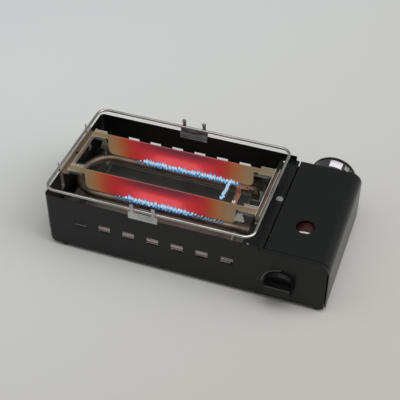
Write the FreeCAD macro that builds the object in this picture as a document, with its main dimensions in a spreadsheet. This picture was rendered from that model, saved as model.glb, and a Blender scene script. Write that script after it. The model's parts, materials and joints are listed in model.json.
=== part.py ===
import FreeCAD, Part
import math
import os
from FreeCAD import Vector

# Portable gas grill with two radiant plates over a U burner, millimetres.
# Case frame: x from the left wall, y from the front wall, z from the table.
# Every finished piece is then moved so that the origin lies under the middle of the whole grill.

doc = FreeCAD.newDocument("RobataGrill")
sheet = doc.addObject("Spreadsheet::Sheet", "Sizes")

SIZES = [
    ("case_width", 409.0), ("case_depth", 198.0), ("deck_height", 86.1), ("rim_rise", 7.7),
    ("rim_height", "=deck_height + rim_rise"), ("can_side", 91.5), ("seam", "=case_width - can_side"),
    ("steel", 1.0), ("play", 0.3), ("fit", 0.05),
    ("foot_height", 6.0), ("foot_radius", 7.5), ("foot_left", 21.5), ("foot_right", "=case_width - 12"),
    ("foot_inset", 9.0), ("corner_radius", 6.0), ("bottom_radius", 12.0), ("step_front", "=seam - 6.5"),
    ("base_upstand", 8.0), ("base_left", 15.0),
    ("vent_first", 52.7), ("vent_count", 7), ("vent_pitch", "=(seam - 101.2) / (vent_count - 1)"),
    ("vent_width", 17.5), ("vent_tall", 13.0), ("vent_height", "=deck_height - 33.1"), ("lip_depth", 3.0),
    ("deck_left", "=seam - 29.5"), ("deck_flange", 12.0), ("screw_x", "=seam - 6.9"),
    ("screw_y", "=case_depth / 2 + 8"), ("screw_head", 5.0), ("screw_head_tall", 2.2), ("screw_slot", 1.2),
    ("screw_shank", 2.0), ("screw_long", 9.0),
    ("rivet_radius", 2.0), ("rivet_tall", 0.9), ("rivet_x", "=seam - 23.5"), ("rivet_inset", 8.5),
    ("front_flange", 8.0), ("cover_front", "=front_flange + steel"), ("cover_steel", 1.2),
    ("cover_bend", 17.0),
    ("cover_bottom", 8.0), ("sight_radius", 13.0), ("sight_x", "=case_width - 50.2"), ("sight_y", 65.8),
    ("hinge_radius", 1.5), ("knuckle_wall", 1.0), ("knuckle_long", 12.0), ("knuckle_gap", 0.6),
    ("hinge_drop", 4.2), ("hinge_in", 4.0), ("hinge_room", 6.5), ("post_wide", 2.0),
    ("can_x", "=case_width - 46.5"), ("can_under", 8.0), ("can_over", 3.1),
    ("can_radius", "=(deck_height - foot_height - steel - can_under - can_over) / 2"),
    ("can_z", "=foot_height + steel + can_under + can_radius"),
    ("can_front", 44.0), ("can_rear", "=case_depth + 28.3"), ("can_neck", 24.0), ("can_shoulder", 10.0),
    ("rim_band", 3.0), ("seam_step", 0.6), ("dish_radius", 80.0), ("dish_depth", 5.0),
    ("cradle_wide", 40.0), ("cradle_long", 100.0), ("cradle_setback", 30.0), ("cradle_top", 6.0),
    ("cradle_gap", 0.4), ("cut_play", 2.5), ("collar_radius", 15.0), ("collar_long", 6.0),
    ("notch_wide", 5.0),
    ("stem_radius", 2.0), ("stem_long", 5.0), ("magnet_long", 5.0), ("magnet_wall", 6.0),
    ("knob_x", "=case_width - 65.3"), ("knob_z", "=deck_height - 51.5"), ("knob_radius", 22.0),
    ("skirt_long", 6.0), ("knob_long", 16.0), ("grip_wide", 15.0), ("shaft_radius", 3.0),
    ("shaft_sunk", 10.0),
    ("ring_inner", 23.6), ("ring_outer", 25.6), ("ring_proud", 0.3),
    ("partition_x", "=seam - 28.3"), ("shield_x", "=seam + 3.5"), ("shield_drop", 8.0), ("toe_wide", 8.0),
    ("shield_front", "=can_front + 2"), ("shield_rear", "=case_depth - 6"),
    ("frame_rod", 2.0), ("frame_left", 1.2), ("frame_right", "=seam - 15"), ("frame_inset", 2.1),
    ("frame_height", "=rim_height + 10.5"), ("frame_corner", 14.0),
    ("clip_left", 127.4), ("clip_wide", 42.5), ("clip_low", "=rim_height - 3.8"),
    ("clip_top", "=rim_height + 8.1"), ("clip_steel", 1.0), ("prong_wide", 5.0), ("prong_in", 3.2),
    ("prong_top", "=frame_height + 11.7"), ("clip_tongue", 14.0), ("tongue_rise", 1.5),
    ("rear_clip_shift", 3.0),
    ("plate_front", "=case_depth / 2 - 41"), ("plate_rear", "=case_depth / 2 + 42"),
    ("channel_floor", "=deck_height + 9.9"), ("channel_top", "=channel_floor + 7"), ("left_channel", 3.5),
    ("channel_wide", 11.0), ("right_channel", "=seam - 25.5"), ("channel_right_wide", 6.9),
    ("bracket_front", "=plate_front - 10"), ("bracket_rear", "=plate_rear + 9.5"), ("leg_wide", 8.0),
    ("arm_reach", 17.0), ("arm_extra", 4.5), ("arm_ahead", 5.0), ("arm_behind", 9.5), ("arm_floor", 1.2),
    ("arm_front_rise", 3.6), ("arm_rear_rise", 5.6), ("guide_tall", 3.0), ("guide_steel", 1.2),
    ("small_shank", 1.5), ("small_head", 2.5), ("small_head_tall", 1.4), ("deck_screw_in", 3.2),
    ("wall_screw_height", "=channel_floor - 28"), ("wall_leg_low", "=wall_screw_height - 6"),
    ("tab_low", "=channel_floor - 16"), ("tab_high", "=channel_floor + 4.6"), ("tab_wide", 15.6),
    ("tab_peak", 2.0), ("tab_past", 1.3), ("spike_wide", 3.0), ("spike_top", "=frame_height + 5.7"),
    ("plate_left", 36.0), ("plate_right", "=seam - 55.5"), ("plate_top", "=channel_top + 1.5"),
    ("plate_low", "=plate_top - 35.5"), ("plate_steel", 1.4), ("plate_corner", 8.0), ("tongue_tall", 8.5),
    ("tongue_play", 0.3),
    ("tube_radius", 6.0), ("tube_wall", 0.8), ("tube_height", "=deck_height - 24.6"), ("bend_x", 52.0),
    ("leg_end", "=seam - 48"), ("elbow_radius", 10.0), ("elbow_end", "=plate_rear - 13"),
    ("port_radius", 0.8), ("port_first", 84.0), ("port_count", 33),
    ("port_pitch", "=(leg_end - 109.5) / (port_count - 1)"),
    ("cross_x", "=seam - 92.5"), ("cross_wide", 7.0), ("cross_tall", 3.0), ("cross_steel", 0.8),
    ("cross_lift", 0.6),
    ("mixer_radius", 8.0), ("mixer_wall", 1.2), ("mixer_left", "=seam - 47.5"),
    ("mixer_right", "=seam - 11.5"),
    ("mixer_neck", 6.0), ("tube_sunk", 4.0), ("air_radius", 3.0), ("air_back", 9.0),
    ("nozzle_radius", 4.0), ("nozzle_long", 12.0), ("nozzle_sunk", 4.0), ("nozzle_bore", 0.6),
    ("pipe_radius", 2.5),
    ("pipe_gap", 3.5), ("pipe_deep", 10.0), ("regulator_wide", 58.0), ("regulator_tall", 44.0),
    ("regulator_rise", 20.0), ("regulator_front", 6.0),
    ("regulator_left", "=mixer_right + nozzle_long + pipe_gap"),
    ("stay_wide", 12.0), ("stay_steel", 1.2), ("stay_lap", 4.0), ("stay_tall", 20.0),
    ("tray_left", 1.6), ("tray_right", "=seam - 33.5"), ("tray_front", 8.0), ("tray_rear", "=case_depth - 8"),
    ("tray_rim", 45.0), ("tray_floor", 28.0), ("tray_flange", 9.0), ("tray_steel", 0.8), ("tray_draft", 3.0),
    ("tray_corner", 8.0), ("island_inset", 16.0), ("island_tall", 2.5), ("slot_play", 1.0),
    ("pull_low", "=tray_floor - 3"), ("pull_high", "=tray_rim + 2.5"), ("pull_steel", 1.6), ("pull_lip", 7.0),
    ("pull_grip", 80.0), ("pull_tab", 16.0),
    ("rail_left", 14.0), ("rail_long", "=deck_left - 30"), ("rail_wide", 12.0), ("rail_tall", 9.0),
    ("rail_steel", 1.0),
    ("electrode_x", "=seam - 78.2"), ("electrode_y", "=plate_rear - 36.5"), ("insulator_radius", 2.6),
    ("insulator_long", 14.0), ("bracket_drop", 12.0), ("strip_wide", 8.0), ("strip_long", 28.5),
    ("shelf_long", 20.0), ("eye_radius", 1.6), ("needle_long", 8.0), ("needle_radius", 0.8),
    ("igniter_radius", 5.0), ("igniter_long", 10.8), ("igniter_side", 13.7), ("igniter_drop", 4.0),
    ("lead_x", "=seam - 9.5"), ("lead_height", "=tube_height - 11.5"), ("lead_radius", 1.2),
    ("lead_bend", 7.0),
]
for row, (alias, value) in enumerate(SIZES, start=1):
    sheet.set("A%d" % row, alias)
    sheet.set("B%d" % row, str(value))
    sheet.setAlias("B%d" % row, alias)
doc.recompute()

V = {alias: float(sheet.get(alias)) for alias, value in SIZES}
FINISHED = []


def bind(obj, prop, text):
    """Bind one property to sizes in the sheet; bare words in text are aliases."""
    words = sorted(V, key=len, reverse=True)
    out, i = "", 0
    while i < len(text):
        hit = ""
        if text[i].isalpha() and (i == 0 or not (text[i - 1].isalnum() or text[i - 1] in "_.")):
            for word in words:
                end = i + len(word)
                if text.startswith(word, i) and not (text[end:end + 1].isalnum() or text[end:end + 1] == "_"):
                    hit = word
                    break
        out += ("Sizes." + hit) if hit else text[i]
        i += len(hit) or 1
    obj.setExpression(prop, out)


def place(obj, x, y, z):
    for axis, text in zip("xyz", (x, y, z)):
        bind(obj, ".Placement.Base." + axis, text)
    return obj


def box(x, y, z, length, width, height, name="Block"):
    obj = doc.addObject("Part::Box", name)
    bind(obj, "Length", length)
    bind(obj, "Width", width)
    bind(obj, "Height", height)
    return place(obj, x, y, z)


TURN = {"x": (Vector(0, 1, 0), 90), "y": (Vector(1, 0, 0), -90), "z": (Vector(0, 0, 1), 0)}


def rod(along, x, y, z, radius, height, name="Round", top=None):
    """Cylinder, or a cone when top is given, from x, y, z along one axis."""
    obj = doc.addObject("Part::Cone" if top else "Part::Cylinder", name)
    if top:
        bind(obj, "Radius1", radius)
        bind(obj, "Radius2", top)
    else:
        bind(obj, "Radius", radius)
    bind(obj, "Height", height)
    axis, angle = TURN[along]
    obj.Placement.Rotation = FreeCAD.Rotation(axis, angle)
    return place(obj, x, y, z)


def fuse(*shapes, name="Joined"):
    obj = doc.addObject("Part::MultiFuse", name)
    obj.Shapes = list(shapes)
    obj.Refine = True
    return obj


def cut(base, *tools, name="Shaped"):
    obj = doc.addObject("Part::Cut", name)
    obj.Base = base
    obj.Tool = tools[0] if len(tools) == 1 else fuse(*tools)
    return obj


def group(*shapes, name="Set"):
    obj = doc.addObject("Part::Compound", name)
    obj.Links = list(shapes)
    return obj


def upright(edge):
    a, b = [v.Point for v in edge.Vertexes[:1] + edge.Vertexes[-1:]]
    return abs(a.x - b.x) < 0.01 and abs(a.y - b.y) < 0.01 and abs(a.z - b.z) > 0.5


def lengthwise(edge):
    a, b = [v.Point for v in edge.Vertexes[:1] + edge.Vertexes[-1:]]
    return abs(a.z - b.z) < 0.01 and abs(a.y - b.y) < 0.01 and abs(a.x - b.x) > 0.5


ORIGIN_X = "-(case_width - pull_lip) / 2"
ORIGIN_Y = "-(can_rear - knob_long) / 2"


def finish(obj, label):
    """Name a finished piece and move it to the grill's own origin."""
    if obj.TypeId in ("Part::Box", "Part::Cylinder", "Part::Cone"):
        obj = group(obj)
    obj.Label = label
    place(obj, ORIGIN_X, ORIGIN_Y, "0")
    FINISHED.append(obj)
    return obj


def solid(label, shape):
    """A piece whose shape is worked out here from the sheet's sizes."""
    obj = doc.addObject("Part::Feature", label)
    obj.Shape = shape
    return finish(obj, label)


def sketch_body(name, plane, points, offset, length, reverse=False):
    """A body with one padded outline; each corner of the outline is a pair of sheet expressions."""
    body = doc.addObject("PartDesign::Body", name)
    sketch = body.newObject("Sketcher::SketchObject", name + "Outline")
    sketch.AttachmentSupport = [(p, "") for p in body.Origin.OriginFeatures if p.Role == plane]
    sketch.MapMode = "FlatFace"
    bind(sketch, "AttachmentOffset.Base.z", offset)
    count = len(points)
    for i in range(count):
        sketch.addGeometry(Part.LineSegment(Vector(i * 7.0, i * i * 3.0, 0),
                                            Vector((i + 1) * 7.0, (i + 1) ** 2 * 3.0, 0)))
    import Sketcher
    for i in range(count):
        sketch.addConstraint(Sketcher.Constraint("Coincident", i, 2, (i + 1) % count, 1))
    for i, pair in enumerate(points):
        for kind, text in zip(("DistanceX", "DistanceY"), pair):
            index = sketch.addConstraint(Sketcher.Constraint(kind, -1, 1, i, 1, 1.0 + i))
            bind(sketch, "Constraints[%d]" % index, text)
    pad = body.newObject("PartDesign::Pad", name + "Pad")
    pad.Profile = sketch
    bind(pad, "Length", length)
    pad.Reversed = reverse
    return body


def rounded_box(low, high, radius):
    """Box from corner to corner with rounded upright edges."""
    size = high - low
    block = Part.makeBox(size.x, size.y, size.z, low)
    return block.makeFillet(radius, [e for e in block.Edges if upright(e)])


def rounded_outline(x0, y0, x1, y1, z, radius):
    """Closed wire round a rounded rectangle at height z."""
    block = rounded_box(Vector(x0, y0, z - 1), Vector(x1, y1, z), radius)
    return max(block.Faces, key=lambda face: face.CenterOfMass.z).OuterWire


def rolled_prism(x0, x1, y0, y1, z0, z1, radius):
    """Block along y whose lower left edge is rolled with a radius."""
    k = radius * (1 - 0.5 ** 0.5)
    corners = [Vector(x0 + radius, y0, z0), Vector(x1, y0, z0), Vector(x1, y0, z1), Vector(x0, y0, z1),
               Vector(x0, y0, z0 + radius)]
    edges = [Part.LineSegment(a, b).toShape() for a, b in zip(corners, corners[1:])]
    edges.append(Part.Arc(corners[-1], Vector(x0 + k, y0, z0 + k), corners[0]).toShape())
    return Part.Face(Part.Wire(edges)).extrude(Vector(0, y1 - y0, 0))


def bent_prism(x0, x1, y0, y1, z0, z1, radius):
    """Block along y whose upper right edge is bent with a radius."""
    k = radius * (1 - 0.5 ** 0.5)
    corners = [Vector(x1, y0, z1 - radius), Vector(x1, y0, z0), Vector(x0, y0, z0), Vector(x0, y0, z1),
               Vector(x1 - radius, y0, z1)]
    edges = [Part.LineSegment(a, b).toShape() for a, b in zip(corners, corners[1:])]
    edges.append(Part.Arc(corners[-1], Vector(x1 - k, y0, z1 - k), corners[0]).toShape())
    return Part.Face(Part.Wire(edges)).extrude(Vector(0, y1 - y0, 0))


def leg_places():
    """Middles of the bracket feet along the depth."""
    return [V["bracket_front"] + V["leg_wide"] / 2, V["bracket_rear"] - V["leg_wide"] / 2]


# Case: one bent sheet, open at the top over the well and at the right under the cover
def case_shell():
    W, D, t = V["case_width"], V["case_depth"], V["steel"]
    low, rim, deck = V["foot_height"], V["rim_height"], V["deck_height"]
    roll = V["bottom_radius"]
    outer = rounded_box(Vector(0, 0, low), Vector(W, D, rim), V["corner_radius"])
    outer = outer.common(rolled_prism(0, W + 1, 0, D, low, rim, roll))
    inner = rounded_box(Vector(t, t, low - 1), Vector(W + 20, D - t, rim + 1), V["corner_radius"] - t)
    inner = inner.common(rolled_prism(t, W + 20, 0, D, low + t, rim + 1, roll - t))
    shell = outer.cut(inner)
    shell = shell.cut(Part.makeBox(W, D - 2 * t, 3 * t, Vector(V["base_left"], t, low - t)))
    shell = shell.cut(Part.makeBox(W, D + 2, rim, Vector(V["step_front"], -1, deck)))
    # behind the front panel the shell keeps inside the cover
    lip, bend, gap = V["front_flange"], V["cover_bend"], V["cover_steel"] + V["play"]
    left = V["seam"] - V["play"]
    outside = Part.makeBox(W, D - lip + 1, rim, Vector(left, lip, 0))
    outside = outside.cut(bent_prism(left - 1, W - gap, lip - 1, D + 2, -1, deck - gap, bend - gap))
    shell = shell.cut(outside)
    # front panel: rounded upper corner, and a flange turned in along the top and the side
    panel = bent_prism(V["step_front"], W, 0, lip, low, deck, bend)
    hollow = bent_prism(V["step_front"] - 1, W - t, -1, lip + 1, low - 1, deck - t, bend - t)
    front_form = rounded_box(Vector(0, 0, low), Vector(W, D, rim), V["corner_radius"])
    beyond = Part.makeBox(W, lip, rim, Vector(V["step_front"], 0, 0))
    beyond = beyond.cut(bent_prism(V["step_front"] - 1, W, -1, lip + 1, -1, deck, bend))
    shell = shell.cut(beyond).fuse(panel.cut(hollow).common(front_form))
    # room behind the hinge line, so that the cover's inner edge can dip as it opens
    room = V["hinge_room"]
    shell = shell.cut(Part.makeBox(V["hinge_in"] + room, 4 * t, deck,
                                   Vector(V["seam"] - room / 2, D - 2 * t, deck - V["hinge_drop"] - room)))
    # holes for the screws of the left bracket
    for y in leg_places():
        shell = shell.cut(Part.makeCylinder(V["small_shank"], 6 * t,
                                            Vector(-2 * t, y, V["wall_screw_height"]),
                                            Vector(1, 0, 0)))
    # vents with a lip turned in along their lower edge
    wide, tall = V["vent_width"], V["vent_tall"]
    for i in range(int(V["vent_count"])):
        x = V["vent_first"] + i * V["vent_pitch"] - wide / 2
        z = V["vent_height"] - tall / 2
        for y in (-1.0, D - t - 1.0):
            shell = shell.cut(Part.makeBox(wide, t + 2, tall, Vector(x, y, z)))
        for y in (0.4 * t, D - V["lip_depth"] - 0.4 * t):
            shell = shell.fuse(Part.makeBox(wide, V["lip_depth"], 0.8 * t, Vector(x, y, z - 0.6 * t)))
    # slot for the tray in the left wall
    gap = V["slot_play"]
    shell = shell.cut(Part.makeBox(4 * t, V["tray_rear"] - V["tray_front"] + 2 * gap,
                                   V["tray_rim"] - V["tray_floor"] + V["tray_steel"] + 2 * gap,
                                   Vector(-2 * t, V["tray_front"] - gap,
                                          V["tray_floor"] - V["tray_steel"] - gap)))
    # round way for the can in the rear wall, open at the top, and the hole for the valve shaft
    reach = V["can_radius"] + V["cut_play"]
    shell = shell.cut(Part.makeCylinder(reach, 4 * t, Vector(V["can_x"], D - 2 * t, V["can_z"]),
                                        Vector(0, 1, 0)))
    shell = shell.cut(Part.makeBox(2 * reach, 12, deck, Vector(V["can_x"] - reach, D - 10, V["can_z"])))
    shell = shell.cut(Part.makeCylinder(V["shaft_radius"] + 1, 6 * t,
                                        Vector(V["knob_x"], -3 * t, V["knob_z"]),
                                        Vector(0, 1, 0)))
    return shell.removeSplitter()


solid("case_shell", case_shell())


# Bottom pan with a low upstand on all sides, inside the case
def base_plate():
    t, play, low = V["steel"], V["play"], V["foot_height"]
    inset = t + V["fit"]
    a = Vector(V["base_left"] + V["fit"], inset, low)
    b = Vector(V["case_width"] - V["cover_steel"] - play, V["case_depth"] - inset, low + V["base_upstand"])
    pan = rounded_box(a, b, V["corner_radius"] - t)
    hollow = rounded_box(a + Vector(t, t, t), b + Vector(-t, -t, 5), V["corner_radius"] - 2 * t)
    return pan.cut(hollow)


solid("base_plate", base_plate())


feet = [rod("z", x, y, "0", "foot_radius - 1", "foot_height", "Foot", top="foot_radius")
        for x in ("foot_left", "foot_right") for y in ("foot_inset", "case_depth - foot_inset")]
finish(group(*feet), "feet")

LEG_PLACES = ("bracket_front + leg_wide / 2", "bracket_rear - leg_wide / 2")

# Deck strip between the well and the cover, with flanges turned down
deck_top = box("deck_left", "steel + fit", "deck_height - steel", "seam - deck_left - hinge_radius",
               "case_depth - 2 * steel - 0.1", "steel", "DeckTop")
deck_flange = box("deck_left", "steel + fit", "deck_height - deck_flange", "steel",
                  "case_depth - 2 * steel - 0.1", "deck_flange", "DeckFlange")
deck_tap = rod("z", "screw_x", "screw_y", "deck_height - 3 * steel", "screw_shank", "4 * steel", "DeckTap")
deck_holes = [rod("z", "rivet_x", y, "deck_height - 2 * steel", "rivet_radius / 2", "3 * steel", "DeckHole")
              for y in ("rivet_inset", "case_depth - rivet_inset")]
deck_holes += [rod("z", "right_channel + deck_screw_in", y, "deck_height - 2 * steel", "small_shank",
                   "3 * steel",
                   "BracketHole") for y in LEG_PLACES]
deck_notch = box("step_front - play", "0", "deck_height - 2 * steel", "seam - step_front",
                 "front_flange + play",
                 "3 * steel", "DeckNotch")
finish(cut(fuse(deck_top, deck_flange), deck_tap, deck_notch, *deck_holes), "deck_plate")

head = rod("z", "screw_x", "screw_y", "deck_height", "screw_head", "screw_head_tall", "ScrewHead")
slot = box("screw_x - screw_head", "screw_y - screw_slot / 2", "deck_height + screw_head_tall / 2",
           "2 * screw_head", "screw_slot",
           "screw_head_tall", "ScrewSlot")
shank = rod("z", "screw_x", "screw_y", "deck_height - screw_long", "screw_shank", "screw_long", "ScrewShank")
finish(fuse(cut(head, slot), shank), "deck_screw")

rivets = []
for y in ("rivet_inset", "case_depth - rivet_inset"):
    cap = rod("z", "rivet_x", y, "deck_height", "rivet_radius", "rivet_tall", "RivetHead",
              top="rivet_radius / 2")
    pin = rod("z", "rivet_x", y, "deck_height - 2 * steel", "rivet_radius / 2", "2 * steel + 0.2", "RivetPin")
    rivets.append(fuse(cap, pin))
finish(group(*rivets), "deck_rivets")


# Cover over the can: top and outer side in one bend, hinged at the seam
def cassette_cover():
    t, bend, deck, W = V["cover_steel"], V["cover_bend"], V["deck_height"], V["case_width"]
    y0, y1 = V["cover_front"], V["case_depth"]
    left = V["seam"] + V["play"]
    top = Part.makeBox(W - bend - left, y1 - y0, t, Vector(left, y0, deck - t))
    side = Part.makeBox(t, y1 - y0, deck - bend - V["cover_bottom"], Vector(W - t, y0, V["cover_bottom"]))
    curve = Part.makeCylinder(bend, y1 - y0, Vector(W - bend, y0, deck - bend), Vector(0, 1, 0))
    curve = curve.cut(Part.makeCylinder(bend - t, y1 - y0, Vector(W - bend, y0, deck - bend),
                                        Vector(0, 1, 0)))
    curve = curve.common(Part.makeBox(bend, y1 - y0, bend, Vector(W - bend, y0, deck - bend)))
    shell = top.fuse([side, curve])
    sight = Part.makeCylinder(V["sight_radius"], 4 * t, Vector(V["sight_x"], V["sight_y"], deck - 2 * t))
    return shell.cut(sight).removeSplitter()


def hinge_z():
    return V["deck_height"] - V["hinge_drop"]


def shield_top():
    return V["deck_height"] - V["shield_drop"]


def knuckle(y, long_, fixed):
    """One rolled hinge knuckle, with a post down to the heat shield or up to the cover."""
    hole = V["hinge_radius"] + V["fit"]
    x, z = V["seam"] + V["hinge_in"], hinge_z()
    roll = Part.makeCylinder(hole + V["knuckle_wall"], long_, Vector(x, y, z), Vector(0, 1, 0))
    low = shield_top() if fixed else z
    top = z if fixed else V["deck_height"] - V["cover_steel"]
    post = Part.makeBox(V["post_wide"], long_, top - low, Vector(x - V["post_wide"] / 2, y, low))
    both = roll.fuse(post).cut(Part.makeCylinder(hole, long_ + 2, Vector(x, y - 1, z), Vector(0, 1, 0)))
    return both.removeSplitter()


cover = cassette_cover()
hinge_places = [V["shield_front"] + V["toe_wide"] / 4,
                V["shield_rear"] - V["toe_wide"] - 2 * V["knuckle_long"] - 1]
cover_knuckles = [knuckle(y, V["knuckle_long"], False) for y in hinge_places]
deck_knuckles = [knuckle(y + V["knuckle_long"] + V["knuckle_gap"], V["knuckle_long"],
                         True) for y in hinge_places]
solid("cassette_cover", cover.fuse(cover_knuckles).removeSplitter())
solid("hinge_knuckles", Part.makeCompound(deck_knuckles))
solid("hinge_pins", Part.makeCompound([
    Part.makeCylinder(V["hinge_radius"], 2 * V["knuckle_long"] + 2.6,
                      Vector(V["seam"] + V["hinge_in"], y - 1, hinge_z()),
                      Vector(0, 1, 0)) for y in hinge_places]))


# Frame of round rod, a closed rounded rectangle
def wire_frame():
    x0, x1 = V["frame_left"], V["frame_right"]
    y0, y1 = V["frame_inset"], V["case_depth"] - V["frame_inset"]
    z, r, c = V["frame_height"], V["frame_rod"], V["frame_corner"]
    s = c * (1 - 0.5 ** 0.5)
    path = Part.Wire([
        Part.LineSegment(Vector((x0 + x1) / 2, y0, z), Vector(x1 - c, y0, z)).toShape(),
        Part.Arc(Vector(x1 - c, y0, z), Vector(x1 - s, y0 + s, z), Vector(x1, y0 + c, z)).toShape(),
        Part.LineSegment(Vector(x1, y0 + c, z), Vector(x1, y1 - c, z)).toShape(),
        Part.Arc(Vector(x1, y1 - c, z), Vector(x1 - s, y1 - s, z), Vector(x1 - c, y1, z)).toShape(),
        Part.LineSegment(Vector(x1 - c, y1, z), Vector(x0 + c, y1, z)).toShape(),
        Part.Arc(Vector(x0 + c, y1, z), Vector(x0 + s, y1 - s, z), Vector(x0, y1 - c, z)).toShape(),
        Part.LineSegment(Vector(x0, y1 - c, z), Vector(x0, y0 + c, z)).toShape(),
        Part.Arc(Vector(x0, y0 + c, z), Vector(x0 + s, y0 + s, z), Vector(x0 + c, y0, z)).toShape(),
        Part.LineSegment(Vector(x0 + c, y0, z), Vector((x0 + x1) / 2, y0, z)).toShape(),
    ])
    ring = Part.Wire(Part.makeCircle(r, Vector((x0 + x1) / 2, y0, z), Vector(1, 0, 0)))
    return path.makePipeShell([ring], True, False)


solid("wire_frame", wire_frame())


# Clips on the two long walls; the rod lies between the prongs and the tongue
def clip(mirror):
    t, w = V["clip_steel"], V["case_depth"]
    left = V["clip_left"] + (V["rear_clip_shift"] if mirror else 0)
    wide = V["clip_wide"]
    low, top = V["clip_low"], V["clip_top"]
    out = -t - V["fit"]
    face = Part.makeBox(wide, t, top - low, Vector(left, out, low))
    parts = [face]
    # saddle over the rim and down behind the wall
    wall_in = V["steel"] + V["fit"]
    parts.append(Part.makeBox(wide, wall_in + t - out, t, Vector(left, out, V["rim_height"] + V["fit"])))
    parts.append(Part.makeBox(wide, t, V["rim_height"] + t - low, Vector(left, wall_in, low)))
    reach = V["frame_inset"] - V["frame_rod"] - V["play"] - t
    for x in (left + V["prong_in"], left + wide - V["prong_in"] - V["prong_wide"]):
        blade = Part.makeBox(V["prong_wide"], t, V["prong_top"] - top, Vector(x, reach, top))
        foot = Part.makeBox(V["prong_wide"], abs(reach - out) + t, t, Vector(x, min(reach, out), top - t))
        parts += [blade, foot]
    # rest for the rod and the middle tongue behind it
    seat = V["frame_height"] - V["frame_rod"] - V["play"]
    behind = V["frame_inset"] + V["frame_rod"] + V["play"]
    mid = left + (wide - V["clip_tongue"]) / 2
    parts.append(Part.makeBox(V["clip_tongue"], behind + t - out, t, Vector(mid, out, seat - t)))
    parts.append(Part.makeBox(V["clip_tongue"], t, V["frame_height"] + V["tongue_rise"] - seat,
                              Vector(mid, behind, seat)))
    shape = parts[0].fuse(parts[1:]).removeSplitter()
    if mirror:
        shape = shape.mirror(Vector(0, w / 2, 0), Vector(0, 1, 0))
    return shape


solid("front_clip", clip(False))
solid("rear_clip", clip(True))


# Channel brackets with forked arms that carry the radiant plates
def plate_slots():
    return [V["plate_front"], V["plate_rear"]]


def bracket(right):
    t, fit = V["steel"], V["fit"]
    wide = V["channel_right_wide"] if right else V["channel_wide"]
    x0 = V["right_channel"] if right else V["left_channel"]
    y0, long_ = V["bracket_front"], V["bracket_rear"] - V["bracket_front"]
    floor, top = V["channel_floor"], V["channel_top"]
    parts = [Part.makeBox(wide, long_, t, Vector(x0, y0, floor - t)),
             Part.makeBox(t, long_, top - floor + t, Vector(x0, y0, floor - t)),
             Part.makeBox(t, long_, top - floor + t, Vector(x0 + wide - t, y0, floor - t))]
    shape = parts[0].fuse(parts[1:])
    inner = x0 if right else x0 + wide
    reach = V["arm_reach"] + (V["arm_extra"] if right else 0)
    gap = V["plate_steel"] / 2 + V["tongue_play"]
    low = V["plate_top"] - V["tongue_tall"] - V["play"]
    block_x = inner - (reach if right else 0)
    for y in plate_slots():
        front, rear = y - V["arm_ahead"], y + V["arm_behind"]
        guide = V["guide_steel"]
        arm = Part.makeBox(reach, rear - front, V["arm_floor"], Vector(block_x, front, low - V["arm_floor"]))
        ribs = [(front, t, V["arm_front_rise"]), (rear - t, t, V["arm_rear_rise"]),
                (y - gap - guide, guide, V["guide_tall"]), (y + gap, guide, V["guide_tall"])]
        arm = arm.fuse([Part.makeBox(reach, thick, tall + fit, Vector(block_x, place_, low - fit))
                        for place_, thick, tall in ribs])
        shape = shape.fuse(arm)
        shape = shape.cut(Part.makeBox(3 * t, 2 * gap, top, Vector(inner - 1.5 * t, y - gap, low)))
    # feet of the bracket: right on the deck strip, left on the wall
    for y in (y0, y0 + long_ - V["leg_wide"]):
        if right:
            tall = floor - V["deck_height"]
            shape = shape.fuse(Part.makeBox(t, V["leg_wide"], tall,
                                            Vector(x0 + wide - t, y, V["deck_height"])))
            shape = shape.fuse(Part.makeBox(wide, V["leg_wide"], t, Vector(x0, y, V["deck_height"])))
            shape = shape.cut(Part.makeCylinder(V["small_shank"], 3 * t,
                                                Vector(x0 + V["deck_screw_in"], y + V["leg_wide"] / 2,
                                                       V["deck_height"] - t)))
        else:
            tall = floor - V["wall_leg_low"]
            shape = shape.fuse(Part.makeBox(t, V["leg_wide"], tall, Vector(t + fit, y, V["wall_leg_low"])))
            shape = shape.fuse(Part.makeBox(x0 - fit, V["leg_wide"], t, Vector(t + fit, y, floor - t)))
            shape = shape.cut(Part.makeCylinder(V["small_shank"], 4 * t,
                                                Vector(0, y + V["leg_wide"] / 2, V["wall_screw_height"]),
                                                Vector(1, 0, 0)))
    # small spikes outside the rod
    spike, under = V["spike_wide"], floor - t
    for y in () if right else (y0 + spike, y0 + long_ - 2 * spike):
        x = V["frame_left"] - V["frame_rod"] - V["play"] - t
        shape = shape.fuse(Part.makeBox(t, spike, V["spike_top"] - under, Vector(x, y, under)))
        shape = shape.fuse(Part.makeBox(x0 - x + t, spike, t, Vector(x, y, under)))
    # tapered tab that hangs at the free end of one arm and keeps the plate from sliding out
    way = -1 if right else 1
    middle = inner + way * (reach + V["tab_past"])
    tab_y = plate_slots()[0 if right else 1] - V["arm_ahead"] - t
    half, peak = V["tab_wide"] / 2, V["tab_peak"] / 2
    tab = [Vector(middle + dx, tab_y, z) for dx, z in ((-half, V["tab_low"]), (half, V["tab_low"]),
                                                       (peak, V["tab_high"]), (-peak, V["tab_high"]))]
    tab = Part.Face(Part.makePolygon(tab + tab[:1])).extrude(Vector(0, t, 0))
    feet_edges = [e for e in tab.Edges if max(abs(v.Point.z - V["tab_low"]) for v in e.Vertexes) < fit
                  and abs(e.Vertexes[0].Point.y - e.Vertexes[-1].Point.y) > fit]
    shape = shape.fuse(tab.makeFillet(V["tab_peak"], feet_edges))
    # middle hole of the channel floor
    shape = shape.cut(Part.makeCylinder(V["eye_radius"], 4 * t,
                                        Vector(x0 + wide / 2, y0 + long_ / 2, floor - 2 * t)))
    return shape.removeSplitter()


solid("left_bracket", bracket(False))
solid("right_bracket", bracket(True))


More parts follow.
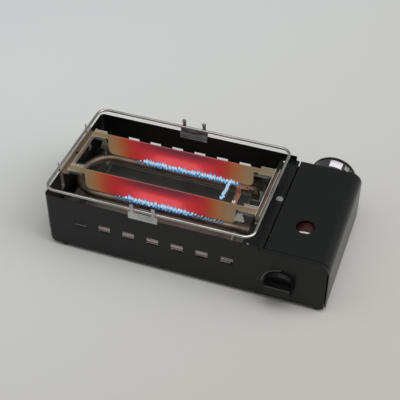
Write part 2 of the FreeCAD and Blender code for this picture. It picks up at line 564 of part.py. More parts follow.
# Radiant plates with a bead along the top and a tongue at each end
def radiant_plate(name, where):
    outline = [("plate_left", "plate_low"), ("plate_right", "plate_low"),
               ("plate_right", "plate_top - tongue_tall"),
               ("right_channel + steel / 2", "plate_top - tongue_tall"),
               ("right_channel + steel / 2", "plate_top"),
               ("left_channel + channel_wide - steel / 2", "plate_top"),
               ("left_channel + channel_wide - steel / 2", "plate_top - tongue_tall"),
               ("plate_left", "plate_top - tongue_tall")]
    body = sketch_body(name, "XZ_Plane", outline, "-(%s) - plate_steel / 2" % where, "plate_steel")
    return body


front_plate = radiant_plate("FrontPlate", "plate_front")
rear_plate = radiant_plate("RearPlate", "plate_rear")
doc.recompute()
for body, label in ((front_plate, "front_radiant_plate"), (rear_plate, "rear_radiant_plate")):
    body_corners = ["Edge%d" % i for i, e in enumerate(body.Shape.Edges, start=1)
                    if abs(e.Vertexes[0].Point.z - V["plate_low"]) < 0.01
                    and abs(e.Vertexes[-1].Point.z - V["plate_low"]) < 0.01 and not lengthwise(e)]
    pad = body.Tip
    rounding = body.newObject("PartDesign::Fillet", "PlateCorners")
    rounding.Base = (pad, body_corners)
    bind(rounding, "Radius", "plate_corner")
    body.Tip = rounding
    finish(body, label)


def tube(path, radius):
    """Round bar along a wire."""
    edge = path.Edges[0]
    start = edge.valueAt(edge.FirstParameter)
    ring = Part.Wire(Part.makeCircle(radius, start, edge.tangentAt(edge.FirstParameter)))
    return path.makePipeShell([ring], True, False)


def rounded_path(points, radius):
    """Wire through the points, straight runs joined by tangent arcs."""
    edges, start = [], points[0]
    for before, corner, after in zip(points, points[1:], points[2:]):
        u, w = (before - corner).normalize(), (after - corner).normalize()
        half = u.getAngle(w) / 2
        back = radius / math.tan(half)
        middle = corner + (u + w).normalize() * (radius / math.sin(half) - radius)
        edges.append(Part.LineSegment(start, corner + u * back).toShape())
        edges.append(Part.Arc(corner + u * back, middle, corner + w * back).toShape())
        start = corner + w * back
    edges.append(Part.LineSegment(start, points[-1]).toShape())
    return Part.Wire(edges)


# Burner: U tube from the mixing tube round the left end and back under the rear plate
def burner_path(first_x, last_shift):
    z, yf, yr = V["tube_height"], V["plate_front"], V["plate_rear"]
    mid, r = (yf + yr) / 2, (yr - yf) / 2
    e, x1 = V["elbow_radius"], V["leg_end"]
    s = e * 0.5 ** 0.5
    return Part.Wire([
        Part.LineSegment(Vector(first_x, yf, z), Vector(V["bend_x"], yf, z)).toShape(),
        Part.Arc(Vector(V["bend_x"], yf, z), Vector(V["bend_x"] - r, mid, z),
                 Vector(V["bend_x"], yr, z)).toShape(),
        Part.LineSegment(Vector(V["bend_x"], yr, z), Vector(x1 - e, yr, z)).toShape(),
        Part.Arc(Vector(x1 - e, yr, z), Vector(x1 - e + s, yr - e + s, z), Vector(x1, yr - e, z)).toShape(),
        Part.LineSegment(Vector(x1, yr - e, z), Vector(x1, V["elbow_end"] + last_shift, z)).toShape(),
    ])


def burner_tube():
    wall = V["tube_wall"]
    body = tube(burner_path(V["mixer_left"] + V["tube_sunk"], 0), V["tube_radius"])
    bore = tube(burner_path(V["mixer_left"] + V["tube_sunk"] + 1, 2 * wall), V["tube_radius"] - wall)
    body = body.cut(bore)
    ports = []
    for i in range(int(V["port_count"])):
        x = V["port_first"] + i * V["port_pitch"]
        for y in plate_slots():
            ports.append(Part.makeCylinder(V["port_radius"], 3 * wall,
                                           Vector(x, y, V["tube_height"] + V["tube_radius"] - 2 * wall)))
    return body.cut(Part.makeCompound(ports))


solid("burner_tube", burner_tube())

mixer = rod("x", "mixer_left", "plate_front", "tube_height", "mixer_radius", "mixer_right - mixer_left",
            "Mixer")
mixer_bore = rod("x", "mixer_left - 1", "plate_front", "tube_height", "mixer_radius - mixer_wall",
                 "mixer_right - mixer_left + 2", "MixerBore")
mixer_neck = rod("x", "mixer_left", "plate_front", "tube_height", "mixer_radius", "mixer_neck", "MixerNeck")
neck_bore = rod("x", "mixer_left - 1", "plate_front", "tube_height", "tube_radius + fit", "mixer_neck + 2",
                "NeckBore")
air_hole = rod("z", "mixer_right - air_back", "plate_front", "tube_height - 2 * mixer_radius", "air_radius",
               "4 * mixer_radius",
               "AirHole")
finish(cut(fuse(cut(mixer, mixer_bore), cut(mixer_neck, neck_bore)), air_hole), "mixing_tube")

nozzle = rod("x", "mixer_right - nozzle_sunk", "plate_front", "tube_height", "nozzle_radius", "nozzle_long",
             "Nozzle")
nozzle_collar = rod("x", "mixer_right + play", "plate_front", "tube_height", "mixer_radius", "nozzle_sunk",
                    "NozzleCollar")
nozzle_bore = rod("x", "mixer_right - nozzle_sunk - 1", "plate_front", "tube_height", "nozzle_bore",
                  "2 * nozzle_sunk", "NozzleBore")
finish(cut(fuse(nozzle, nozzle_collar), nozzle_bore), "gas_nozzle")


# Cross lighting channel between the two legs
cross_body = box("cross_x", "plate_front + tube_radius * 0.6", "tube_height + tube_radius * 0.6 + cross_lift",
                 "cross_wide", "plate_rear - plate_front - tube_radius * 1.2", "cross_tall", "CrossBody")
cross_hollow = box("cross_x + cross_steel", "plate_front",
                   "tube_height + tube_radius * 0.6 + cross_lift + cross_steel",
                   "cross_wide - 2 * cross_steel", "plate_rear - plate_front", "cross_tall", "CrossHollow")
cross_legs = [rod("x", "cross_x - 1", y, "tube_height", "tube_radius + fit", "cross_wide + 2", "CrossSeat")
              for y in ("plate_front", "plate_rear")]
finish(cut(cross_body, cross_hollow, *cross_legs), "cross_lighting_strip")

# Walls inside the case
wall_hole = rod("x", "partition_x - 2", "plate_front", "tube_height", "mixer_radius + play", "6",
                "PartitionHole")
partition = box("partition_x", "2 * steel + 0.1", "foot_height + steel + fit", "steel",
                "case_depth - 4 * steel - 0.2", "deck_height - foot_height - 2 * steel - 0.1", "Partition")
partition_toe = box("partition_x", "bottom_radius", "foot_height + steel + fit", "toe_wide",
                    "case_depth - 2 * bottom_radius", "steel", "PartitionToe")
lead_hole = rod("x", "partition_x - 2", "electrode_y + strip_wide / 2", "lead_height", "lead_radius + play",
                "6",
                "LeadHole")
finish(cut(fuse(partition, partition_toe), wall_hole, lead_hole), "partition_wall")

shield = box("shield_x", "shield_front", "foot_height + steel + fit", "steel", "shield_rear - shield_front",
             "deck_height - shield_drop - foot_height - steel - fit", "Shield")
shield_toe = box("shield_x - toe_wide", "shield_front", "foot_height + steel + fit", "toe_wide",
                 "shield_rear - shield_front", "steel", "ShieldToe")
finish(fuse(shield, shield_toe), "heat_shield")


# Drip tray: pressed tray with a rim flange and a raised island
def tray_shape():
    t, draft = V["tray_steel"], V["tray_draft"]
    x0, x1, y0, y1 = V["tray_left"], V["tray_right"], V["tray_front"], V["tray_rear"]
    rim, low, f = V["tray_rim"], V["tray_floor"], V["tray_flange"]

    def bowl(grow, top, bottom):
        upper, lower = f - grow, f + draft - grow
        return Part.makeLoft([rounded_outline(x0 + upper, y0 + upper, x1 - upper, y1 - upper, top,
                                              V["tray_corner"]),
                              rounded_outline(x0 + lower, y0 + lower, x1 - lower, y1 - lower, bottom,
                                              V["tray_corner"])],
                             True, True)

    flange = rounded_box(Vector(x0, y0, rim - t), Vector(x1, y1, rim), V["tray_corner"] / 2)
    tray = flange.fuse(bowl(t, rim, low - t)).cut(bowl(0, rim + 0.01, low))
    inset = V["island_inset"] + f
    island = rounded_box(Vector(x0 + inset, y0 + inset, low - 0.2),
                         Vector(x1 - inset, y1 - inset, low + V["island_tall"]), V["tray_corner"] - t)
    under = rounded_box(Vector(x0 + inset + t, y0 + inset + t, low - 2 * t),
                        Vector(x1 - inset - t, y1 - inset - t, low + V["island_tall"] - t),
                        V["tray_corner"] - 2 * t)
    return tray.fuse(island).cut(under).removeSplitter()


solid("drip_tray", tray_shape())

pull_face = box("-pull_steel - fit", "tray_front - 2", "pull_low", "pull_steel", "tray_rear - tray_front + 4",
                "pull_high - pull_low", "PullFace")
pull_lip = box("-pull_lip", "case_depth / 2 - pull_grip / 2", "pull_high - pull_steel", "pull_lip - fit",
               "pull_grip", "pull_steel", "PullLip")
pull_arms = [box("-pull_steel", y, "tray_rim", "tray_left + 0.8 * tray_flange + pull_steel", "pull_tab",
                 "tray_steel", "PullArm")
             for y in ("tray_front + pull_tab", "tray_rear - 2 * pull_tab")]
finish(fuse(pull_face, pull_lip, *pull_arms), "tray_pull")

rails = []
for wall_y, rail_y in (("steel + fit", "steel + fit"),
                       ("case_depth - 2 * steel - fit", "case_depth - steel - fit - rail_wide")):
    stand = box("rail_left", wall_y, "tray_rim - tray_steel - play - rail_tall", "rail_long", "rail_steel",
                "rail_tall", "RailStand")
    shelf = box("rail_left", rail_y, "tray_rim - tray_steel - play - rail_steel", "rail_long", "rail_wide",
                "rail_steel", "RailShelf")
    rails.append(fuse(stand, shelf))
finish(group(*rails), "tray_rails")

# Burner stays: left one on the wall, right one from the partition
stay_left = fuse(
    box("steel + fit", "case_depth / 2 - stay_wide / 2", "tube_height + tube_radius + stay_steel - stay_tall",
        "stay_steel", "stay_wide", "stay_tall", "StayFoot"),
    box("steel + fit", "case_depth / 2 - stay_wide / 2", "tube_height + tube_radius + fit",
        "bend_x - (plate_rear - plate_front) / 2 + stay_lap", "stay_wide", "stay_steel", "StayShelf"))
stay_right = fuse(
    box("partition_x - stay_steel - fit", "elbow_end - 2", "tube_height - tube_radius - stay_tall / 2",
        "stay_steel",
        "stay_wide", "stay_tall", "StayPlate"),
    box("leg_end - stay_lap", "elbow_end - 2", "tube_height - tube_radius - stay_steel - fit",
        "partition_x - leg_end + stay_lap - fit", "stay_wide", "stay_steel", "StayArm"))
finish(group(stay_left, stay_right), "burner_stays")


# Gas side: can, collar, stem, magnet ring, regulator, shaft and knob
def gas_can():
    x, z, r = V["can_x"], V["can_z"], V["can_radius"]
    y0, y1 = V["can_front"], V["can_rear"]
    body = Part.makeCylinder(r - V["seam_step"], y1 - y0 - V["can_shoulder"] - 1,
                             Vector(x, y0 + V["can_shoulder"], z),
                             Vector(0, 1, 0))
    shoulder = Part.makeCone(V["can_neck"], r - V["seam_step"], V["can_shoulder"], Vector(x, y0, z),
                             Vector(0, 1, 0))
    bands = [Part.makeCylinder(r, V["rim_band"], Vector(x, y, z), Vector(0, 1, 0))
             for y in (y1 - V["rim_band"], y0 + V["can_shoulder"] - 1)]
    shape = body.fuse([shoulder] + bands)
    dish = Part.makeSphere(V["dish_radius"], Vector(x, y1 + V["dish_radius"] - V["dish_depth"], z))
    return shape.cut(dish).removeSplitter()


solid("gas_can", gas_can())

collar_y = "can_front - collar_long"
collar = rod("y", "can_x", collar_y, "can_z", "collar_radius", "collar_long", "Collar")
notch = box("can_x - notch_wide / 2", collar_y + " - 1", "can_z + collar_radius - notch_wide / 2",
            "notch_wide",
            "collar_long - 2", "notch_wide", "CollarNotch")
finish(cut(collar, notch), "can_collar")
finish(rod("y", "can_x", "can_front - collar_long - stem_long", "can_z", "stem_radius", "stem_long", "Stem"),
       "can_stem")

magnet_y = "can_front - collar_long - play - magnet_long"
magnet = rod("y", "can_x", magnet_y, "can_z", "collar_radius", "magnet_long", "Magnet")
magnet_bore = rod("y", "can_x", magnet_y + " - 1", "can_z", "collar_radius - magnet_wall", "magnet_long + 2",
                  "MagnetBore")
finish(cut(magnet, magnet_bore), "magnet_ring")

regulator = box("regulator_left", "regulator_front", "can_z + regulator_rise - regulator_tall",
                "regulator_wide",
                "can_front - collar_long - play - magnet_long - regulator_front - fit", "regulator_tall",
                "Regulator")
stem_hole = rod("y", "can_x", "can_front - collar_long - 2 * stem_long", "can_z", "stem_radius + 2 * play",
                "4 * stem_long",
                "StemHole")
shaft_hole = rod("y", "knob_x", "regulator_front - 1", "knob_z", "shaft_radius + fit",
                 "shaft_sunk + 4", "ShaftHole")
finish(cut(regulator, stem_hole, shaft_hole), "regulator_body")
finish(rod("y", "knob_x", "-0.75 * knob_long", "knob_z", "shaft_radius",
           "0.75 * knob_long + regulator_front + shaft_sunk", "Shaft"), "valve_shaft")


# Knob: a flat skirt and a grip bar across it
def control_knob():
    x, z, r = V["knob_x"], V["knob_z"], V["knob_radius"]
    long_, skirt = V["knob_long"], V["skirt_long"]
    disc = Part.makeCone(r - 1.5, r, skirt - 0.5, Vector(x, -skirt, z), Vector(0, 1, 0))
    bar = Part.makeBox(2 * r, long_ - 1, V["grip_wide"], Vector(x - r, -long_, z - V["grip_wide"] / 2))
    bar = bar.common(Part.makeCone(r - 3, r, long_, Vector(x, -long_, z), Vector(0, 1, 0)))
    shape = disc.fuse(bar)
    bore = Part.makeCylinder(V["shaft_radius"] + V["fit"] / 2, 2 * long_,
                             Vector(x, -0.75 * long_ - V["fit"], z),
                             Vector(0, 1, 0))
    return shape.cut(bore).removeSplitter()


solid("control_knob", control_knob())

ring = rod("y", "knob_x", "-ring_proud", "knob_z", "ring_outer", "ring_proud - 0.01", "Ring")
ring_bore = rod("y", "knob_x", "-2 * ring_proud", "knob_z", "ring_inner", "3", "RingBore")
ring_quarter = box("knob_x - ring_outer - 1", "-1", "knob_z", "ring_outer + 1", "2", "ring_outer + 1",
                   "RingQuarter")
quarter = doc.addObject("Part::Common", "Quarter")
quarter.Base = cut(ring, ring_bore)
quarter.Tool = ring_quarter
finish(quarter, "dial_ring")


# Pipe from the regulator to the nozzle
def gas_pipe():
    """Short pipe out of the regulator to the left, then to the rear into the nozzle's side."""
    r, y, z = V["pipe_radius"], V["regulator_front"] + V["pipe_deep"], V["tube_height"]
    nozzle_end = V["mixer_right"] - V["nozzle_sunk"] + V["nozzle_long"]
    corner = Vector(nozzle_end + V["fit"] + r, y, z)
    end = Vector(corner.x, V["plate_front"], z)
    first = Part.makeCylinder(r, V["regulator_left"] - corner.x, corner, Vector(1, 0, 0))
    second = Part.makeCylinder(r, end.y - corner.y, corner, Vector(0, 1, 0))
    pipe = first.fuse([Part.makeSphere(r, corner), second, Part.makeSphere(V["nozzle_radius"], end)])
    block = Part.makeCylinder(V["nozzle_radius"] + V["fit"], V["nozzle_long"],
                              Vector(nozzle_end - V["nozzle_long"], V["plate_front"], z), Vector(1, 0, 0))
    return pipe.cut(block)


solid("gas_pipe", gas_pipe())

# Cradle under the can
cradle = box("can_x - cradle_wide / 2", "shield_front + cradle_setback", "foot_height + steel + fit",
             "cradle_wide",
             "cradle_long", "can_z - foot_height - can_radius + cradle_top", "Cradle")
cradle_way = rod("y", "can_x", "shield_front", "can_z", "can_radius + cradle_gap", "2 * cradle_long",
                 "CradleWay")
cradle_hollow = box("can_x - cradle_wide / 2 + steel", "shield_front + cradle_setback - 1", "foot_height",
                    "cradle_wide - 2 * steel", "cradle_long + 2", "3 * steel", "CradleHollow")
finish(cut(cradle, cradle_way, cradle_hollow), "can_cradle")

# Lighting: piezo unit beside the shaft, lead, insulator, needle and bracket by the rear leg
igniter = rod("y", "knob_x - igniter_side", "can_front - collar_long - magnet_long - play",
              "knob_z - igniter_drop",
              "igniter_radius", "igniter_long", "Igniter")
finish(igniter, "piezo_igniter")


def electrode_parts():
    x, y = V["electrode_x"], V["electrode_y"]
    shelf_z = V["tube_height"] + V["tube_radius"] + V["fit"]
    low, wide, thick, long_ = shelf_z - V["bracket_drop"], V["strip_wide"], V["steel"], V["strip_long"]
    strip = Part.makeBox(wide, long_, thick, Vector(x, y - thick, low))
    riser = Part.makeBox(wide, thick, V["bracket_drop"] + thick, Vector(x, y + long_ - 2 * thick, low))
    shelf = Part.makeBox(V["shelf_long"], wide, thick, Vector(x, y + long_ - 2 * thick, shelf_z))
    holder = strip.fuse([riser, shelf])
    middle = Vector(x + wide / 2, y + wide / 2, 0)
    hole = Part.makeCylinder(V["eye_radius"], 3 * thick, Vector(x + V["shelf_long"] - wide / 2,
                                                    y + long_ - 2 * thick + wide / 2, shelf_z - thick))
    bore = Part.makeCylinder(V["insulator_radius"] + V["fit"], 4 * thick, middle + Vector(0, 0, low - thick))
    foot = low - V["insulator_long"] * 0.6
    body = Part.makeCylinder(V["insulator_radius"], V["insulator_long"], middle + Vector(0, 0, foot))
    flange = Part.makeCylinder(V["insulator_radius"] + 1.0, 1.6, middle + Vector(0, 0, low - 1.65))
    tip = foot + V["insulator_long"]
    needle = Part.makeCylinder(V["needle_radius"], V["needle_long"], middle + Vector(0, 0, tip))
    return holder.cut(hole).cut(bore), body.fuse(flange), needle


bracket_piece, insulator_piece, needle_piece = electrode_parts()
solid("electrode_bracket", bracket_piece)
solid("electrode_insulator", insulator_piece)
solid("electrode_needle", needle_piece)

def igniter_lead():
    """Insulated lead from the piezo unit, through the partition, to the insulator."""
    x0 = V["knob_x"] - V["igniter_side"] - V["igniter_radius"] - 2 * V["fit"]
    y0 = V["can_front"] - V["collar_long"] - V["magnet_long"] - V["play"] + V["igniter_long"] / 2
    y1 = V["electrode_y"] + V["strip_wide"] / 2
    x1 = V["electrode_x"] + V["strip_wide"] / 2 + V["insulator_radius"] + 2 * V["fit"]
    a, b = Vector(x0, y0, V["knob_z"] - V["igniter_drop"]), Vector(V["lead_x"], y0,
                                                                   V["knob_z"] - V["igniter_drop"])
    c, d = Vector(V["lead_x"], y1, V["lead_height"]), Vector(x1, y1, V["lead_height"])
    return tube(rounded_path([a, b, c, d], V["lead_bend"]), V["lead_radius"])


solid("igniter_lead", igniter_lead())

# Small screws
bracket_screws = []
for y in LEG_PLACES:
    pan_head = rod("x", "2 * steel + fit", y, "wall_screw_height", "small_head", "small_head_tall", "PanHead")
    pan_shank = rod("x", "-0.5", y, "wall_screw_height", "small_shank", "2 * steel + 0.65", "PanShank")
    bracket_screws.append(fuse(pan_head, pan_shank))
    deck_head = rod("z", "right_channel + deck_screw_in", y, "deck_height + steel", "small_head",
                    "small_head_tall",
                    "DeckHead")
    deck_shank = rod("z", "right_channel + deck_screw_in", y, "deck_height - 3", "small_shank",
                     "3 + steel + 0.1",
                     "DeckShank")
    bracket_screws.append(fuse(deck_head, deck_shank))
finish(group(*bracket_screws), "bracket_screws")

doc.recompute()
problems = [o.Label for o in doc.Objects if "Invalid" in o.State or "Error" in o.State]
for piece in FINISHED:
    if piece.Shape.isNull() or not piece.Shape.isValid() or piece.Shape.Volume <= 0:
        problems.append(piece.Label + " shape")
if problems:
    raise RuntimeError("failed objects: " + ", ".join(problems))
os.makedirs("parts", exist_ok=True)
for piece in FINISHED:
    piece.Shape.exportStep("parts/%s.step" % piece.Label)
    solids = len(piece.Shape.Solids)
    b = piece.Shape.BoundBox
    print("%-22s %2d solids %9.1f mm3  x %.1f..%.1f y %.1f..%.1f z %.1f..%.1f" % (
        piece.Label, solids, piece.Shape.Volume, b.XMin, b.XMax, b.YMin, b.YMax, b.ZMin, b.ZMax))
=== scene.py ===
# %% [markdown]
# A portable gas grill, dressed around its packed construction model. The real one is a black
# enamelled sheet steel case. In its well a U-shaped burner heats two upright sheets until they glow,
# a rod frame lies round the top, and a gas can lies under the cover on the right.
# The frame holds every piece at its real size, so this script only adds finishes, softened edges,
# flames and small details. All lengths are in metres, in the frame of the construction model.

# %% Frame
import json
import math

import bmesh
import bpy
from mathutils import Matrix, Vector


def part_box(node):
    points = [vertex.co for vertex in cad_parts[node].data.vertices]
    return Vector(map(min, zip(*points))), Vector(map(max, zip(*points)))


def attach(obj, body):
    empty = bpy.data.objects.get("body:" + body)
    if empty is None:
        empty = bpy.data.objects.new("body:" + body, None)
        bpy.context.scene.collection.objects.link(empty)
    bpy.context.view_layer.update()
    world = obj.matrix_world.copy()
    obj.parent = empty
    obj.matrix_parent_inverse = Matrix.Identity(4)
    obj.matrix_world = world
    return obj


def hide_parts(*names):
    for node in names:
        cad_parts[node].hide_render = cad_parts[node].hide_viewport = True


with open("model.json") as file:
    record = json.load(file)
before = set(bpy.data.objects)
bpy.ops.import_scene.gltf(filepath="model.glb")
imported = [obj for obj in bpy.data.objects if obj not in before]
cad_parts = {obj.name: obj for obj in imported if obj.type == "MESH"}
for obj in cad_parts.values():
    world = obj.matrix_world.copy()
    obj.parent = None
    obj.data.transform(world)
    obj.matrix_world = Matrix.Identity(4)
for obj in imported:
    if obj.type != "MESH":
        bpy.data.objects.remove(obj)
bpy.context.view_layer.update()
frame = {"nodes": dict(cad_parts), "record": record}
nodes = frame["nodes"]
bodies = frame["record"]["behaviour"]["bodies"]
body_of_node = {node: body for body, members in bodies.items() for node in members}

# %% [markdown]
# Sizes are read back from the frame, so that no measure of the construction model is repeated here.
# The left wall, the front wall and the table give the zero of the case, and a place on the case is
# then written in plain millimetres, which is easier to picture than metres from the model's origin.

# %% Places on the case
MM = 0.001
case_low, case_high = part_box("case_shell")


def spot(x, y, z):
    """A point given in millimetres from the left wall, the front wall and the table."""
    return Vector((case_low.x + x * MM, case_low.y + y * MM, z * MM))


def case_box(node):
    """A node's lowest and highest corners, each as (x, y, z) in the same millimetres."""
    return [((v.x - case_low.x) / MM, (v.y - case_low.y) / MM, v.z / MM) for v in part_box(node)]


print("case", [round(v / MM, 1) for v in case_high - case_low])

# %% [markdown]
# Shader maths reads best as plain expressions. A Term wraps one socket, and arithmetic on it adds
# the Math nodes. Two soft steps, between and within, are enough to draw every band and spot on the
# grill, which is simpler than painting maps and stays sharp at any distance.

# %% Terms


class Term:
    """One value inside a material. Arithmetic on it adds Math nodes."""

    def __init__(self, tree, socket):
        self.tree = tree
        self.socket = socket

    def math(self, operation, other, swap=False):
        pair = (other, self) if swap else (self, other)
        return shader_node(self.tree, "Math", {"operation": operation}, enumerate(pair))

    def __add__(self, other):
        return self.math("ADD", other)

    __radd__ = __add__

    def __sub__(self, other):
        return self.math("SUBTRACT", other)

    def __rsub__(self, other):
        return self.math("SUBTRACT", other, swap=True)

    def __mul__(self, other):
        return self.math("MULTIPLY", other)

    __rmul__ = __mul__

    def __truediv__(self, other):
        return self.math("DIVIDE", other)

    def between(self, low, high):
        """0 below low, 1 above high, smooth in between."""
        return shader_node(self.tree, "MapRange", {"interpolation_type": "SMOOTHSTEP"},
                           {"Value": self, "From Min": low, "From Max": high})

    def within(self, low, high, soft):
        """1 from low to high, fading to 0 over a soft edge at each end."""
        return self.between(low - soft, low + soft) * (1.0 - self.between(high - soft, high + soft))


def feed(tree, slot, value):
    """Link a Term into a socket, or write a plain value there."""
    if isinstance(value, Term):
        tree.links.new(value.socket, slot)
    elif isinstance(value, (tuple, list)) and len(slot.default_value) > len(value):
        slot.default_value = list(value) + [1.0]
    else:
        slot.default_value = value


def shader_node(tree, kind, settings=(), values=(), out=0):
    """Add a node with its settings and with values or links in its sockets; one output comes back."""
    node = tree.nodes.new("ShaderNode" + kind)
    for key, value in dict(settings).items():
        setattr(node, key, value)
    for key, value in dict(values).items():
        feed(tree, node.inputs[key], value)
    return Term(tree, node.outputs[out])


print("terms ready")

# %% [markdown]
# A Finish is a material in the making. It reads Object coordinates, which are the frame's own
# metres, so a band stays at its place on the piece. Everything that varies over a surface ends in a
# colour, a roughness, a metal share, a glow or a bump, because those can be baked; the rest are
# single numbers on the shader.

# %% Finishes


def srgb(*levels):
    """Red, green and blue as they look, 0 to 255, turned into the linear values that a shader takes."""
    return tuple(c / 255 / 12.92 if c <= 10 else ((c / 255 + 0.055) / 1.055) ** 2.4 for c in levels)


class Finish:
    """A material in the making."""

    SOCKETS = {"color": "Base Color", "rough": "Roughness", "metal": "Metallic", "glow": "Emission Color",
               "normal": "Normal", "strength": "Emission Strength", "specular": "Specular IOR Level"}

    def __init__(self, name):
        self.material = bpy.data.materials.new(name)
        self.material.use_nodes = True
        self.tree = self.material.node_tree
        self.shader = self.tree.nodes["Principled BSDF"]

    def node(self, kind, settings=(), values=(), out=0):
        return shader_node(self.tree, kind, settings, values, out)

    def place(self):
        return self.node("TexCoord", out="Object")

    def case_axes(self):
        """The place in millimetres from the left wall, the front wall and the table."""
        split = self.node("SeparateXYZ", (), {0: self.place()}).socket.node
        x, y, z = [Term(self.tree, split.outputs[i]) for i in range(3)]
        return (x - case_low.x) / MM, (y - case_low.y) / MM, z / MM

    def stretched(self, x, y, z):
        """Object coordinates scaled along each axis, for grain that runs one way."""
        return self.node("VectorMath", {"operation": "MULTIPLY"}, {0: self.place(), 1: (x, y, z)})

    def noise(self, scale, detail=3.0, rough=0.55, vector=None):
        return self.node("TexNoise", (), {"Vector": vector or self.place(), "Scale": scale, "Detail": detail,
                                          "Roughness": rough})

    def mix(self, factor, first, second):
        return self.node("Mix", {"data_type": "RGBA"}, {0: factor, 6: first, 7: second}, out=2)

    def tinted(self, color, *bands):
        """Lay colours over a colour; each band is a mask and the tint that shows where the mask is 1."""
        for mask, tint in bands:
            color = self.mix(mask, color, srgb(*tint))
        return color

    def bump(self, height, strength, distance=0.0003):
        return self.node("Bump", (), {"Height": height, "Strength": strength, "Distance": distance})

    def set(self, **sockets):
        for key, value in sockets.items():
            feed(self.tree, self.shader.inputs[self.SOCKETS[key]], value)
        return self.material


print("finish helpers ready")

# %% [markdown]
# Black enamel. On the real case it is a satin heat-proof paint on thin steel: a very dark neutral
# grey with a fine orange peel, a faint mottle in the gloss and a little dust. One flat black would
# look like a hole, so a fast noise drives the bump and a slow one the colour and the gloss.

# %% Black enamel


def black_enamel(name, tint, rough):
    finish = Finish(name)
    peel = finish.noise(900.0, 2.0)
    cloud = finish.noise(9.0, 3.0)
    dust = finish.noise(2600.0, 1.0).between(0.70, 0.78)
    color = finish.mix(cloud * 0.5, srgb(*tint), srgb(*[c * 1.22 for c in tint]))
    color = finish.tinted(color, (dust * 0.10, (150, 150, 145)))
    return finish.set(color=color, rough=cloud * 0.08 + rough, normal=finish.bump(peel, 0.12, 0.0004),
                      specular=0.30)


enamel = black_enamel("black_enamel", (13, 14, 14), 0.24)
enamel_inside = black_enamel("black_enamel_inside", (9, 9, 9), 0.6)
print("enamel outside and inside")

# %% [markdown]
# Bare metal comes in several tempers here: bright plated rod, plain stainless sheet, sooted sheet,
# browned tube, zinc, brass and a cast alloy. They differ in tint, gloss and grain alone, so one
# function makes them all. The grain is a noise stretched along the rolling direction; it drives the
# fine scratches in the gloss and the bump, and a slow noise lets the colour drift.

# %% Steel and other metals


def bare_metal(name, pale, dark, rough, grain=(40.0, 900.0, 900.0), bands=None, chalky=None, depth=0.10):
    """Metal without paint. bands gives the masks and tints of stained places, chalky the matt places."""
    finish = Finish(name)
    fine = finish.noise(1.0, 4.0, 0.7, finish.stretched(*grain))
    slow = finish.noise(28.0, 3.0)
    color = finish.mix(slow.between(0.35, 0.7), srgb(*pale), srgb(*dark))
    if bands:
        color = finish.tinted(color, *bands(finish, *finish.case_axes()))
    color = finish.mix(fine.between(0.45, 0.75) * 0.25, color, srgb(*[c * 0.55 for c in dark]))
    metal = 1.0 - chalky(*finish.case_axes()) * 0.85 if chalky else 1.0
    return finish.set(color=color, metal=metal, rough=fine * 0.12 + slow * 0.10 + rough,
                      normal=finish.bump(fine, depth))


SOOT_LINE = (96.0, 106.0)
TUBE_GRAIN = (30.0, 700.0, 700.0)
CAST_GRAIN = (300.0, 300.0, 300.0)


def sooted(x, y, z):
    """Dull all over, and dullest low down, as on the leaf that hangs inside the rear wall."""
    return 0.9 - z.between(*SOOT_LINE) * 0.35


bright_rod = bare_metal("bright_rod", (190, 189, 185), (164, 162, 157), 0.16, depth=0.02)
plain_steel = bare_metal("plain_steel", (198, 198, 195), (168, 168, 166), 0.30)
pink_steel = bare_metal("pink_steel", (206, 168, 152), (150, 112, 98), 0.34)
dull_steel = bare_metal("dull_steel", (118, 124, 124), (82, 88, 88), 0.40, chalky=sooted)
burner_steel = bare_metal("burner_finish", (134, 118, 104), (90, 80, 72), 0.36, TUBE_GRAIN)
zinc = bare_metal("zinc", (185, 187, 188), (145, 148, 150), 0.34)
brass = bare_metal("brass_finish", (196, 160, 96), (160, 126, 70), 0.30)
# Painted shade: the gas pipe's brass is darkened, since it shows only in the dark gap beside the cover.
gap_shade_brass = bare_metal("gap_shade_brass_finish", (62, 54, 44), (40, 36, 30), 0.50)
alloy = bare_metal("cast_alloy_finish", (150, 150, 152), (120, 120, 122), 0.48, CAST_GRAIN)
print("nine metals")

# %% [markdown]
# The brackets stand over the flames. Their arms and folded edges have stayed pale, the floors of the channels
# and the sheet under them have browned, a small hole in the left one is drawn as a dark spot of painted
# shade, and the tab under the right front arm has a painted highlight, pale and less metallic, where it
# catches the light. Faces could be picked one by one for each stain, but the stains fade softly across them,
# so bands at the right places draw them on one finish.

# %% Brackets
SHEET_TOP = case_box("front_radiant_plate")[1][2]
CHANNEL_FLOOR = SHEET_TOP - 8.5
LEFT_CHANNEL_END = 14.2
RIGHT_CHANNEL_START = 292.4
HOLE_X, HOLE_Y, HOLE_RADIUS = 6.4, 96.0, 1.9
TAB_LEFT, TAB_RIGHT = 262.0, 284.0


def painted_tab_highlight(x, y, z):
    """The tab under the right front arm, given a painted highlight: pale and less metallic."""
    return (1.0 - z.between(CHANNEL_FLOOR - 2.0, CHANNEL_FLOOR)) * x.within(TAB_LEFT, TAB_RIGHT, 1.0)


def bracket_bands(finish, x, y, z):
    floor = z.within(CHANNEL_FLOOR - 1.5, CHANNEL_FLOOR + 1.8, 0.4)
    in_channel = 1.0 - x.within(LEFT_CHANNEL_END, RIGHT_CHANNEL_START, 0.2)
    stain = finish.noise(60.0, 3.0)
    below = 1.0 - z.between(CHANNEL_FLOOR - 16.0, CHANNEL_FLOOR - 4.0)
    # Painted shade: a near-black spot stands for the small hole in the left channel floor.
    across = x.within(HOLE_X - HOLE_RADIUS, HOLE_X + HOLE_RADIUS, 0.5)
    along = y.within(HOLE_Y - HOLE_RADIUS, HOLE_Y + HOLE_RADIUS, 0.5)
    return [(floor * in_channel * (stain * 0.3 + 0.75), (132, 108, 84)), (below * 0.5, (120, 104, 84)),
            (across * along * floor, (16, 14, 12)), (painted_tab_highlight(x, y, z), (232, 231, 226))]


pale_steel = bare_metal("pale_steel", (222, 218, 210), (190, 184, 174), 0.38, (900.0, 40.0, 900.0),
                        bracket_bands, painted_tab_highlight)
print("channel floor at", round(CHANNEL_FLOOR, 1))
